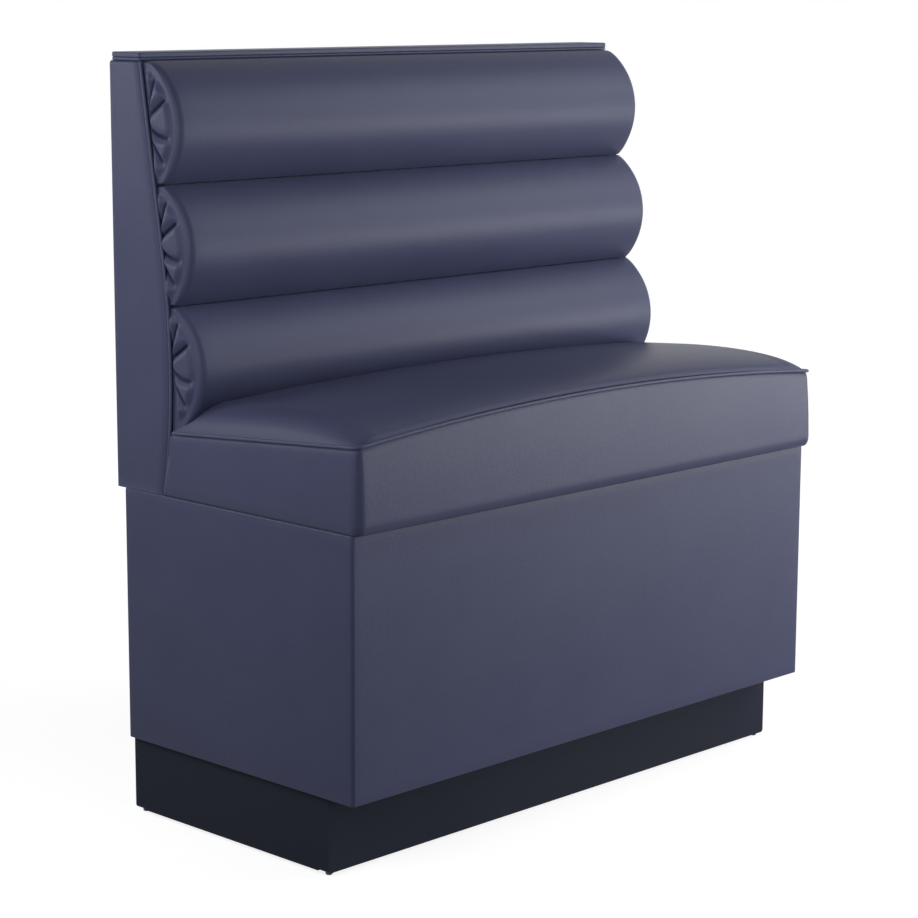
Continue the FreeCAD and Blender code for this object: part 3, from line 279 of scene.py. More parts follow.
def new_material(name):
    """A node material and its tree."""
    material = bpy.data.materials.new(name)
    material.use_nodes = True
    return material, material.node_tree


def add(tree, kind, **settings):
    """A node with its settings and the values of its unlinked inputs."""
    node = tree.nodes.new(kind)
    for key, value in settings.items():
        if hasattr(node, key):
            setattr(node, key, value)
        else:
            node.inputs[key.replace("_", " ")].default_value = value
    return node


def wire(tree, source, target):
    """Link an output to an input."""
    tree.links.new(source, target)


def tone(colour, shade=1.0):
    """A colour with its channels times a shade, and full alpha."""
    return (*(channel * shade for channel in colour), 1)


def new_group(name, inputs, outputs):
    """A shader node group with number inputs and the named outputs."""
    tree = bpy.data.node_groups.new(name, "ShaderNodeTree")
    for label, value in inputs:
        socket = tree.interface.new_socket(label, in_out="INPUT", socket_type="NodeSocketFloat")
        socket.default_value = value
    for label, kind in outputs:
        tree.interface.new_socket(label, in_out="OUTPUT", socket_type=kind)
    return tree, tree.nodes.new("NodeGroupInput"), tree.nodes.new("NodeGroupOutput")


def vinyl_grain_group():
    """Pebbled vinyl: cells of a few tenths of a millimetre, worn smooth, with a slow mottle."""
    tree, given, result = new_group(
        "vinyl_grain", [("Pebbles per metre", 900.0), ("Mottle per metre", 9.0)],
        [("Height", "NodeSocketFloat"), ("Mottle", "NodeSocketFloat"), ("Grain", "NodeSocketFloat")])
    place = add(tree, "ShaderNodeTexCoord")
    wander = add(tree, "ShaderNodeTexNoise", Scale=260.0, Detail=2.0)
    wire(tree, place.outputs["Object"], wander.inputs["Vector"])
    shift = add(tree, "ShaderNodeMix", data_type="VECTOR", Factor=0.0016)
    wire(tree, place.outputs["Object"], shift.inputs[VECTOR_A])
    wire(tree, wander.outputs["Color"], shift.inputs[VECTOR_B])
    cells = add(tree, "ShaderNodeTexVoronoi", feature="SMOOTH_F1", Smoothness=0.6)
    wire(tree, shift.outputs[VECTOR_RESULT], cells.inputs["Vector"])
    wire(tree, given.outputs["Pebbles per metre"], cells.inputs["Scale"])
    pebble = add(tree, "ShaderNodeMapRange", interpolation_type="SMOOTHSTEP", From_Min=0.1, From_Max=0.75,
                 To_Min=1.0, To_Max=0.0)
    wire(tree, cells.outputs["Distance"], pebble.inputs["Value"])
    creases = add(tree, "ShaderNodeTexNoise", Scale=420.0, Detail=4.0, Roughness=0.65)
    wire(tree, place.outputs["Object"], creases.inputs["Vector"])
    crease_share, swell_share = 0.55, 1.6
    creased = add(tree, "ShaderNodeMath", operation="MULTIPLY_ADD")
    creased.inputs[1].default_value = crease_share
    wire(tree, creases.outputs["Fac"], creased.inputs[0])
    wire(tree, pebble.outputs["Result"], creased.inputs[2])
    swells = add(tree, "ShaderNodeTexNoise", Scale=170.0, Detail=1.0)
    wire(tree, place.outputs["Object"], swells.inputs["Vector"])
    height = add(tree, "ShaderNodeMath", operation="MULTIPLY_ADD")
    height.inputs[1].default_value = swell_share
    wire(tree, swells.outputs["Fac"], height.inputs[0])
    wire(tree, creased.outputs["Value"], height.inputs[2])
    slow = add(tree, "ShaderNodeTexNoise", Detail=3.0, Roughness=0.55)
    wire(tree, place.outputs["Object"], slow.inputs["Vector"])
    wire(tree, given.outputs["Mottle per metre"], slow.inputs["Scale"])
    wire(tree, height.outputs["Value"], result.inputs["Height"])
    wire(tree, slow.outputs["Fac"], result.inputs["Mottle"])
    wire(tree, pebble.outputs["Result"], result.inputs["Grain"])
    return tree


def edge_polish_group():
    """A mask of the rims and folds that hands and knees rub smooth, from the surface's pointiness."""
    tree, given, result = new_group("edge_polish", [("Reach", 0.06)], [("Mask", "NodeSocketFloat")])
    shape = add(tree, "ShaderNodeNewGeometry")
    flat_pointiness = 0.5
    top = add(tree, "ShaderNodeMath", operation="ADD")
    top.inputs[0].default_value = flat_pointiness
    wire(tree, given.outputs["Reach"], top.inputs[1])
    rim = add(tree, "ShaderNodeMapRange", From_Min=0.505)
    wire(tree, shape.outputs["Pointiness"], rim.inputs["Value"])
    wire(tree, top.outputs["Value"], rim.inputs["From Max"])
    place = add(tree, "ShaderNodeTexCoord")
    patches = add(tree, "ShaderNodeTexNoise", Scale=34.0, Detail=3.0)
    wire(tree, place.outputs["Object"], patches.inputs["Vector"])
    mask = add(tree, "ShaderNodeMath", operation="MULTIPLY", use_clamp=True)
    wire(tree, rim.outputs["Result"], mask.inputs[0])
    wire(tree, patches.outputs["Fac"], mask.inputs[1])
    wire(tree, mask.outputs["Value"], result.inputs["Mask"])
    return tree


def use_group(tree, group, **values):
    """A group in a material's tree, with this material's own values."""
    node = tree.nodes.new("ShaderNodeGroup")
    node.node_tree = group
    for key, value in values.items():
        node.inputs[key.replace("_", " ")].default_value = value
    return node


def navy_vinyl(name, grain_group, polish_group, shade=1.0, pebbles=900.0, depth=0.00019):
    """Navy upholstery vinyl: satin, finely pebbled, a little paler where it is rubbed."""
    material, tree = new_material(name)
    shader = tree.nodes["Principled BSDF"]
    grain = use_group(tree, grain_group, Pebbles_per_metre=pebbles)
    polish = use_group(tree, polish_group)
    tones = add(tree, "ShaderNodeMix", data_type="RGBA")
    tones.inputs[COLOUR_A].default_value = tone(VINYL_DEEP, shade)
    tones.inputs[COLOUR_B].default_value = tone(VINYL_PALE, shade)
    wire(tree, grain.outputs["Mottle"], tones.inputs[0])
    # Painted shade: the colour is multiplied darker in the hollows between the grain's pebbles, where shade
    # falls
    valleys = add(tree, "ShaderNodeMix", data_type="RGBA", blend_type="MULTIPLY")
    valleys.inputs[COLOUR_B].default_value = tone(VINYL_HOLLOW_SHADE)
    hollow_shade = add(tree, "ShaderNodeMapRange", To_Min=0.5, To_Max=0.0)
    wire(tree, grain.outputs["Grain"], hollow_shade.inputs["Value"])
    wire(tree, hollow_shade.outputs["Result"], valleys.inputs[0])
    wire(tree, tones.outputs[COLOUR_RESULT], valleys.inputs[COLOUR_A])
    rubbed = add(tree, "ShaderNodeMix", data_type="RGBA")
    rubbed.inputs[COLOUR_B].default_value = tone(VINYL_RUBBED, shade)
    wire(tree, polish.outputs["Mask"], rubbed.inputs[0])
    wire(tree, valleys.outputs[COLOUR_RESULT], rubbed.inputs[COLOUR_A])
    wire(tree, rubbed.outputs[COLOUR_RESULT], shader.inputs["Base Color"])
    rough = add(tree, "ShaderNodeMapRange", To_Min=0.34, To_Max=0.42)
    wire(tree, grain.outputs["Mottle"], rough.inputs["Value"])
    wire(tree, rough.outputs["Result"], shader.inputs["Roughness"])
    bump = add(tree, "ShaderNodeBump", Strength=0.5, Distance=depth)
    wire(tree, grain.outputs["Height"], bump.inputs["Height"])
    wire(tree, bump.outputs["Normal"], shader.inputs["Normal"])
    shader.inputs["Specular IOR Level"].default_value = VINYL_SPECULAR
    return material


def black_laminate():
    """Black plinth laminate: a faint stipple, and scuffs along its length."""
    material, tree = new_material("black_laminate")
    shader = tree.nodes["Principled BSDF"]
    place = add(tree, "ShaderNodeTexCoord")
    stretch = add(tree, "ShaderNodeMapping")
    stretch.inputs["Scale"].default_value = (3.0, 3.0, 40.0)
    wire(tree, place.outputs["Object"], stretch.inputs["Vector"])
    scuffs = add(tree, "ShaderNodeTexNoise", Scale=3.0, Detail=5.0, Roughness=0.6)
    wire(tree, stretch.outputs["Vector"], scuffs.inputs["Vector"])
    tones = add(tree, "ShaderNodeMix", data_type="RGBA")
    tones.inputs[COLOUR_A].default_value = tone(LAMINATE_DEEP)
    tones.inputs[COLOUR_B].default_value = tone(LAMINATE_PALE)
    wire(tree, scuffs.outputs["Fac"], tones.inputs[0])
    wire(tree, tones.outputs[COLOUR_RESULT], shader.inputs["Base Color"])
    rough = add(tree, "ShaderNodeMapRange", To_Min=0.42, To_Max=0.55)
    wire(tree, scuffs.outputs["Fac"], rough.inputs["Value"])
    wire(tree, rough.outputs["Result"], shader.inputs["Roughness"])
    stipple = add(tree, "ShaderNodeTexNoise", Scale=900.0, Detail=2.0)
    wire(tree, place.outputs["Object"], stipple.inputs["Vector"])
    bump = add(tree, "ShaderNodeBump", Strength=0.25, Distance=0.0001)
    wire(tree, stipple.outputs["Fac"], bump.inputs["Height"])
    wire(tree, bump.outputs["Normal"], shader.inputs["Normal"])
    shader.inputs["Specular IOR Level"].default_value = LAMINATE_SPECULAR
    return material


def sawn_wood(name, light, dark, ring_scale, plies=0.0):
    """Wood along the piece: wavy rings with pores, and glue lines between plies where it has them."""
    material, tree = new_material(name)
    shader = tree.nodes["Principled BSDF"]
    place = add(tree, "ShaderNodeTexCoord")
    stretch = add(tree, "ShaderNodeMapping")
    stretch.inputs["Scale"].default_value = (0.9, 7.0, 7.0)
    wire(tree, place.outputs["Object"], stretch.inputs["Vector"])
    rings = add(tree, "ShaderNodeTexWave", wave_type="BANDS", bands_direction="Y", Scale=ring_scale,
                Distortion=6.0, Detail=3.0, Detail_Scale=1.4)
    wire(tree, stretch.outputs["Vector"], rings.inputs["Vector"])
    pores = add(tree, "ShaderNodeTexNoise", Scale=60.0, Detail=5.0, Roughness=0.7)
    wire(tree, stretch.outputs["Vector"], pores.inputs["Vector"])
    tones = add(tree, "ShaderNodeMix", data_type="RGBA")
    tones.inputs[COLOUR_A].default_value = tone(light)
    tones.inputs[COLOUR_B].default_value = tone(dark)
    blend = add(tree, "ShaderNodeMath", operation="MULTIPLY")
    wire(tree, rings.outputs["Fac"], blend.inputs[0])
    wire(tree, pores.outputs["Fac"], blend.inputs[1])
    wire(tree, blend.outputs["Value"], tones.inputs[0])
    colour = tones.outputs[COLOUR_RESULT]
    if plies:
        layers = add(tree, "ShaderNodeTexWave", wave_type="BANDS", bands_direction="DIAGONAL", Scale=plies,
                     Distortion=0.4)
        wire(tree, place.outputs["Object"], layers.inputs["Vector"])
        lines = add(tree, "ShaderNodeMapRange", From_Min=0.0, From_Max=0.12, To_Min=0.35, To_Max=0.0)
        wire(tree, layers.outputs["Fac"], lines.inputs["Value"])
        glued = add(tree, "ShaderNodeMix", data_type="RGBA")
        glue = [channel * share for channel, share in zip(dark, GLUE_SHARES)]
        glued.inputs[COLOUR_B].default_value = tone(glue)
        wire(tree, lines.outputs["Result"], glued.inputs[0])
        wire(tree, colour, glued.inputs[COLOUR_A])
        colour = glued.outputs[COLOUR_RESULT]
    wire(tree, colour, shader.inputs["Base Color"])
    rough = add(tree, "ShaderNodeMapRange", To_Min=0.55, To_Max=0.8)
    wire(tree, pores.outputs["Fac"], rough.inputs["Value"])
    wire(tree, rough.outputs["Result"], shader.inputs["Roughness"])
    bump = add(tree, "ShaderNodeBump", Strength=0.4, Distance=0.0003)
    wire(tree, pores.outputs["Fac"], bump.inputs["Height"])
    wire(tree, bump.outputs["Normal"], shader.inputs["Normal"])
    return material


def mottled(name, deep, pale, scale, rough, bump_distance, metallic=0.0):
    """A finish with a mottled tone and a fine matching relief: foam, felt, cloth, steel or plastic."""
    material, tree = new_material(name)
    shader = tree.nodes["Principled BSDF"]
    place = add(tree, "ShaderNodeTexCoord")
    cells = add(tree, "ShaderNodeTexNoise", Scale=scale, Detail=5.0, Roughness=0.7)
    wire(tree, place.outputs["Object"], cells.inputs["Vector"])
    tones = add(tree, "ShaderNodeMix", data_type="RGBA")
    tones.inputs[COLOUR_A].default_value = tone(deep)
    tones.inputs[COLOUR_B].default_value = tone(pale)
    wire(tree, cells.outputs["Fac"], tones.inputs[0])
    wire(tree, tones.outputs[COLOUR_RESULT], shader.inputs["Base Color"])
    spread = add(tree, "ShaderNodeMapRange", To_Min=rough[0], To_Max=rough[1])
    wire(tree, cells.outputs["Fac"], spread.inputs["Value"])
    wire(tree, spread.outputs["Result"], shader.inputs["Roughness"])
    bump = add(tree, "ShaderNodeBump", Strength=0.6, Distance=bump_distance)
    wire(tree, cells.outputs["Fac"], bump.inputs["Height"])
    wire(tree, bump.outputs["Normal"], shader.inputs["Normal"])
    shader.inputs["Metallic"].default_value = metallic
    return material


# Base box

def base_wrap(material):
    """Vinyl drawn round the base box.

    Level outlines of a rounded rectangle follow a closed profile: up the outside,
    round the top edge and in over the boards, and back down the inside. An inset first
    takes up the corners' rounding, and what is left of it moves the sides straight in.
    """
    plan, outward = rounded_plan(HALF_WIDTH, BASE_FRONT, BASE_REAR, BASE_CORNER_ROUND, BASE_REAR_ROUND,
                                 side_count=24, corner_count=8, front_count=80)
    turn = np.linspace(0, math.pi / 2, 6)
    edge, foot = BASE_EDGE_ROUND, BASE_FOOT_ROUND
    lower = [(foot * (1 - math.sin(t)), BASE_BOTTOM + foot * (1 - math.cos(t))) for t in turn]
    wall = [(0.0, z) for z in np.linspace(BASE_BOTTOM + foot, BASE_TOP - edge, 26)[1:-1]]
    upper = [(edge * (1 - math.cos(t)), BASE_TOP - edge * (1 - math.sin(t))) for t in turn]
    inner_top = BASE_TOP - WRAP_THICKNESS
    lap = [(BASE_LAP / 2, BASE_TOP), (BASE_LAP, BASE_TOP), (BASE_LAP, inner_top),
           (WRAP_THICKNESS + BASE_FOLD, inner_top), (WRAP_THICKNESS, inner_top - BASE_FOLD),
           (WRAP_THICKNESS, BASE_BOTTOM + BASE_HEM), (WRAP_THICKNESS - BASE_HEM, BASE_BOTTOM)]
    inset, level = np.array(lower + wall + upper + lap).T
    centre = np.array([0.0, (BASE_FRONT + BASE_REAR) / 2])
    corner = np.where(plan[:, 1] < centre[1], BASE_CORNER_ROUND, BASE_REAR_ROUND)
    reach = np.minimum(inset[:, None], corner[None] - BASE_LEAST_ROUND)[..., None]
    shrink = inset[:, None, None] - reach
    flat = plan[None] - outward[None] * reach
    flat = flat - np.sign(flat - centre) * shrink * (np.abs(outward[None]) > LEAST_FACING)
    points = np.concatenate([flat, np.broadcast_to(level[:, None, None], flat.shape[:2] + (1,))], -1)
    return sewn_piece("base_wrap", [(points, True, True)], material, ["base_cover"])


# Seat cushion

def seam_level(y):
    """The side seam's level: it falls evenly to the rear."""
    return BASE_TOP + SEAM_HEIGHT - (y - SEAT_FRONT - SEAT_LEAN) * SEAM_FALL


def side_slope(distance, crown):
    """Height of the side slope: a circle through the seam, a third point and the shoulder."""
    full = np.maximum(crown, LEAST_CROWN)
    x1, y1 = CROWN_SIDE / 3, CROWN_THIRD_RISE * full
    x2, y2 = CROWN_SIDE, full
    first, second = x1 ** 2 + y1 ** 2, x2 ** 2 + y2 ** 2
    scale = 2 * (x1 * y2 - x2 * y1)
    centre = (first * y2 - second * y1) / scale
    depth = (x1 * second - x2 * first) / scale
    inside = np.clip(distance, 0, CROWN_SIDE)
    height = depth + np.sqrt(centre ** 2 + depth ** 2 - (inside - centre) ** 2)
    return height * crown / full


def seat_top(x, y):
    """The cushion's top: the seam's level, an arch across, and a crown that swells from the seams."""
    travel = np.clip((y - SEAT_FRONT - SEAT_LEAN) / (FOOT_Y - SEAT_FRONT - SEAT_LEAN), 0, 1)
    edge = SEAT_HALF - SEAT_LEAN
    arch = (ARCH_FRONT + (ARCH_REAR - ARCH_FRONT) * travel) * (1 - np.clip(np.abs(x) / edge, 0, 1) ** 2)
    slope = np.clip((y - SEAT_FRONT - SEAT_LEAN) / CROWN_FRONT, 0, 1)
    crown = CROWN * np.sqrt(1 - (1 - slope) ** 2)
    return seam_level(y) + arch + side_slope(edge - np.abs(x), crown)


def under_roll(x, y):
    """The level below the lowest roll that the cushion is pressed down to, higher at its rounded ends."""
    middle_y = VALLEY_Y + ROLL_AXIS_BACK * math.cos(ROLL_RAKE) + ROLL_PITCH / 2 * math.sin(ROLL_RAKE)
    middle_z = VALLEY_Z - ROLL_AXIS_BACK * math.sin(ROLL_RAKE) + ROLL_PITCH / 2 * math.cos(ROLL_RAKE)
    to_end = np.clip((np.abs(x) - ROLL_HALF + ROLL_END_ROUND) / ROLL_END_ROUND, 0, 1)
    radius = ROLL_RADIUS + ROLL_CLEAR - ROLL_LOWER_ROUND * (1 - np.sqrt(1 - to_end ** 2))
    reach = np.clip(np.abs(y - middle_y) / radius, 0, 1)
    return middle_z - radius * np.sqrt(1 - reach ** 2)


def seam_dip(distance):
    """How far the vinyl is drawn in at a distance from its seam: it rises and dies away again."""
    return SEAM_DIP * distance / SEAM_DIP_WIDTH * np.exp(1 - distance / SEAM_DIP_WIDTH)


def panel_edge(z):
    """The end panels' front edge: an arc below the waist, one above it, then a straight run."""
    foot_step, foot_height = FOOT_Y - WAIST_Y, WAIST_Z - BASE_TOP
    foot_curve = (foot_step ** 2 + foot_height ** 2) / (2 * foot_step)
    below = np.clip(WAIST_Z - z, 0, foot_height)
    above = np.clip(z - WAIST_Z, 0, BEND_Z - WAIST_Z)
    lean = math.tan(math.asin((BEND_Z - WAIST_Z) / PANEL_CURVE))
    return (WAIST_Y + foot_curve - np.sqrt(foot_curve ** 2 - below ** 2)
            + PANEL_CURVE - np.sqrt(PANEL_CURVE ** 2 - above ** 2) + np.maximum(z - BEND_Z, 0) * lean)


def boxing_inset(height):
    """How far the boxing leans in at a height above its rounded lower edge."""
    return SEAT_LEAN * (height - SEAT_ROLL_HEIGHT) / (SEAM_HEIGHT - SEAT_ROLL_HEIGHT)


def seat_cushion(material):
    """The cushion: outlines that round under, climb the leaning boxing and close over the crown."""
    rear = FOOT_Y + SEAT_INTO_PIPING
    plan, outward = rounded_plan(SEAT_HALF, SEAT_FRONT, rear, SEAT_FRONT_ROUND, SEAT_REAR_ROUND,
                                 side_count=44, corner_count=12, front_count=150)
    at_rear = np.clip((plan[:, 1] - (rear - 3 * SEAT_REAR_ROUND)) / (2 * SEAT_REAR_ROUND), 0, 1)

    def outline(height, inset):
        """The plan at a height, moved in by an inset, with its rear along the end panels."""
        flat = plan - outward * inset[:, None]
        flat = flat + np.stack([0 * height, at_rear * (panel_edge(BASE_TOP + height) - FOOT_Y)], -1)
        return np.concatenate([flat, (BASE_TOP + height)[:, None]], -1)

    whole = np.ones(len(plan))
    top_seam = outline(SEAM_HEIGHT * whole, SEAT_LEAN * whole)
    for _ in range(SEAM_PASSES):
        x, y = top_seam[:, 0], top_seam[:, 1]
        height = np.minimum(seat_top(x, y), under_roll(x, y)) - BASE_TOP
        top_seam = outline(height, boxing_inset(height))
    rows = []
    for share in UNDERSIDE_SHARES:
        under = outline(0 * whole, SEAT_ROLL_UNDER * whole)
        under[:, 0] *= share
        under[:, 1] = under[:, 1].mean() + (under[:, 1] - under[:, 1].mean()) * share
        rows.append(under)
    for turn in np.linspace(0, math.pi / 2, 10):
        rows.append(outline(SEAT_ROLL_HEIGHT * (1 - math.cos(turn)) * whole,
                            SEAT_ROLL_UNDER * (1 - math.sin(turn)) * whole))
    for share in BOXING_SHARES:
        level = SEAT_ROLL_HEIGHT + share * (height - SEAT_ROLL_HEIGHT)
        belly = BOXING_BELLY * math.sin(math.pi * share) - seam_dip(height - level)
        rows.append(outline(level, boxing_inset(level) - belly * (1 - at_rear)))
    edge_x = np.abs(top_seam[:, 0]).max()
    middle = (top_seam[:, 1].min() + top_seam[:, 1].max()) / 2
    depth = (top_seam[:, 1].max() - top_seam[:, 1].min()) / 2
    steps = depth * (np.linspace(0, 1, TOP_RINGS + 1)[1:] ** TOP_RING_POWER)
    for distance in steps:
        x = top_seam[:, 0] * (1 - distance / edge_x)
        y = middle + (top_seam[:, 1] - middle) * (1 - distance / depth)
        if distance == steps[-1]:
            x = (x + np.roll(x[::-1], 1)) / 2
        z = np.minimum(seat_top(x, y) - seam_dip(distance) * (1 - at_rear), under_roll(x, y))
        rows.append(np.stack([x, y, z], -1))
    first = rows[0]
    first[:, 0] = (first[:, 0] + np.roll(first[::-1, 0], 1)) / 2
    first[:, 1] = first[:, 1].mean()
    return sewn_piece("seat_cushion", [(np.stack(rows), False, True)], material,
                      ["seat_cover", "seat_foam"])


def seat_piping(material):
    """Piping in the top seam, from the rear of one side round the front to the rear of the other."""
    plan, outward = rounded_half(SEAT_HALF, SEAT_FRONT, SEAT_PIPING_END, SEAT_FRONT_ROUND,
                                 side_count=90, corner_count=16, front_count=220)
    height = np.full(len(plan), SEAM_HEIGHT)
    for _ in range(SEAM_PASSES):
        seam = plan - outward * boxing_inset(height)[:, None]
        edge = SEAT_HALF - SEAT_LEAN
        arch = ARCH_FRONT * (1 - np.clip(np.abs(seam[:, 0]) / edge, 0, 1) ** 2)
        height = seam_level(seam[:, 1]) + arch - BASE_TOP
    path = np.concatenate([seam + outward * PIPING_STAND, (BASE_TOP + height + PIPING_LIFT)[:, None]], -1)
    out = np.concatenate([outward, np.zeros((len(outward), 1))], -1)
    return sewn_piece("seat_piping", [piping_tube(path, out, SEAT_PIPING)], material, ["seat_welt"])


# Back

def end_panel_cover(side, sign, material):
    """Vinyl over an end panel: its outer face turns in towards the piping along the front edge.

    Each level is a closed line: the lip behind the piping, the outer face, which falls
    away as a square law over the last few millimetres, the rounded rear edge, and the
    inner side. At the top the line shrinks round the upper edge.
    """
    straight = np.linspace(BASE_TOP, BACK_TOP - PAD, 60)
    turns = np.linspace(0, math.pi / 2, 8)
    levels = np.concatenate([straight, BACK_TOP - COVER_TOP_ROUND * (1 - np.sin(turns))])
    pull = np.concatenate([np.zeros_like(straight), COVER_TOP_ROUND * (1 - np.cos(turns))])
    closed_top = np.concatenate([np.zeros_like(straight), np.ones_like(turns)])
    front = panel_edge(levels) + COVER_BEHIND_EDGE
    turn_in = np.array([0.0, 0.4, 0.8, 1.2, 1.7, 2.3, 3.0, 4.2, 6.0, 8.0, 10.5, 13.0, COVER_TURN_WIDTH])
    face = np.linspace(0, 1, 14)[1:]
    rear_turn = np.linspace(0, math.pi / 2, 6)
    columns = []

    def column(x, y):
        """One line of points up the panel, at the side that the sign gives."""
        columns.append(np.stack([sign * (x + 0 * levels), y + 0 * levels, levels], -1))

    inner = COVER_IN + (PANEL_IN - COVER_IN) * closed_top
    column(inner, front + COVER_LIP)
    for reach in turn_in:
        fall = COVER_TURN_DEPTH * (1 - reach / COVER_TURN_WIDTH) ** 2
        fall += COVER_TUCK_DEPTH * math.exp(-(reach / COVER_TUCK_WIDTH) ** 2)
        column(HALF_WIDTH - fall - pull, front + COVER_START + reach)
    start = front + COVER_START + COVER_TURN_WIDTH
    end = BACK_REAR - COVER_REAR_ROUND
    for share in face:
        column(HALF_WIDTH - pull, start + share * (end - start))
    for turn in rear_turn[1:]:
        inset = COVER_REAR_ROUND * (1 - math.cos(turn))
        column(HALF_WIDTH - pull - inset, end + COVER_REAR_ROUND * math.sin(turn))
    column(PANEL_IN + 0 * pull, BACK_REAR)
    column(PANEL_IN + 0 * pull, BACK_REAR - PAD)
    column(inner, BACK_REAR - PAD)
    points = np.stack(columns, 1)
    return sewn_piece("end_panel_cover_" + side, [(points, False, True)], material,
                      ["back_end_cover_" + side])


def end_lining(side, sign, material):
    """A vinyl lining behind the piping, across the panel's front edge and back beside the rolls.

    Each level is a thin closed strip in the shape of a letter L that follows the front edge.
    """
    levels = np.linspace(BASE_TOP, BACK_TOP - PAD, 40)
    front = panel_edge(levels) + END_PIPING
    outer, inner = COVER_IN + LINING_OUT, COVER_IN - LINING_IN
    strip = [(outer, 0.0), (outer, LINING_DEPTH), (inner, LINING_DEPTH),
             (inner, LINING_THICKNESS), (PANEL_IN, LINING_THICKNESS), (PANEL_IN, 0.0)]
    points = np.stack([np.stack([sign * (x + 0 * levels), front + y, levels], -1) for x, y in strip], 1)
    return sewn_piece("end_lining_" + side, [(points, False, True)], material, ["back_end_cover_" + side])


def end_piping(side, sign, material):
    """Piping up an end panel's front edge, between its cover and the rolls."""
    levels = np.linspace(BASE_TOP + END_PIPING, BACK_TOP - END_PIPING, 240)
    front = panel_edge(levels) + END_PIPING
    path = np.stack([np.full_like(levels, sign * END_PIPING_X), front, levels], -1)
    out = np.tile([0.0, -1.0, 0.0], (len(levels), 1))
    return sewn_piece("end_piping_" + side, [piping_tube(path, out, END_PIPING)], material,
                      ["back_end_welt_" + side])


# The pleats sewn into a roll's end: where each starts and stops, in millimetres in front
# of the valleys and above the roll's middle, and how far its middle bows.
PLEATS = [((-19.0, 30.0), (5.0, 75.0), 0.0), ((-15.0, 17.0), (27.0, 37.5), 0.0),
          ((-16.0, -8.0), (26.0, -25.5), -4.0), ((-19.0, -28.0), (7.0, -66.0), 0.0)]
PLEAT_DEPTH, PLEAT_WIDTH = 7.5, 1.8
PLEAT_FADE, PLEAT_START = 0.22, 6.0
PETAL_PUFF, PETAL_WIDTH = 8.0, 8.0
# The petals fade over a band inside the rim, and over a like band in front of this line.
PETAL_BAND, PETAL_FRONT = 14.0, -20.0
FAN_PLACE = (-21.0, 2.0)


def eased(share):
    """A share from 0 to 1 that starts and ends gently."""
    return share * share * (3 - 2 * share)


def pleat_relief(forward, along):
    """How far a roll's end stands out: puffed petals, with a narrow fold at each pleat.

    A fold is a bell curve of the distance to its bowed line. The petals rise with the
    distance to the nearest fold and die out towards the rim and the piping.
    """
    nearest = np.full(forward.shape, np.inf)
    folds = np.zeros(forward.shape)
    for (f0, a0), (f1, a1), bow in PLEATS:
        run = np.array([f1 - f0, a1 - a0])
        length = math.hypot(*run)
        run /= length
        share = ((forward - f0) * run[0] + (along - a0) * run[1]) / length
        inside = np.clip(share, 0, 1)
        bend = bow * 4 * inside * (1 - inside)
        off_line = (along - a0) * run[0] - (forward - f0) * run[1] - bend
        beyond = (share - inside) * length
        distance = np.hypot(off_line, beyond)
        fade = eased(np.clip((1 - share) / PLEAT_FADE, 0, 1))
        before = np.minimum(beyond, 0)
        fold = np.exp(-(off_line / PLEAT_WIDTH) ** 2) * fade * np.exp(-(before / PLEAT_START) ** 2)
        folds = np.maximum(folds, fold)
        nearest = np.minimum(nearest, distance)
    radius = np.hypot(forward + ROLL_AXIS_BACK, along)
    rim = np.clip((ROLL_RADIUS - ROLL_END_ROUND - radius) / PETAL_BAND, 0, 1)
    welt = np.clip((forward - PETAL_FRONT) / PETAL_BAND, 0, 1)
    window = eased(rim) * eased(welt)
    puff = PETAL_PUFF * (1 - np.exp(-(nearest / PETAL_WIDTH) ** 2))
    return window * puff - PLEAT_DEPTH * folds * np.clip(welt * 2, 0, 1)


# Points round a roll's section: its front, each side of its stem, and its back
FRONT_POINTS, STEM_POINTS, BACK_POINTS = 280, 8, 40
# Sections of a roll: over an end's face, round its rim, and along half of its length
FACE_RINGS, RIM_RINGS, LENGTH_RINGS = 83, 14, 23


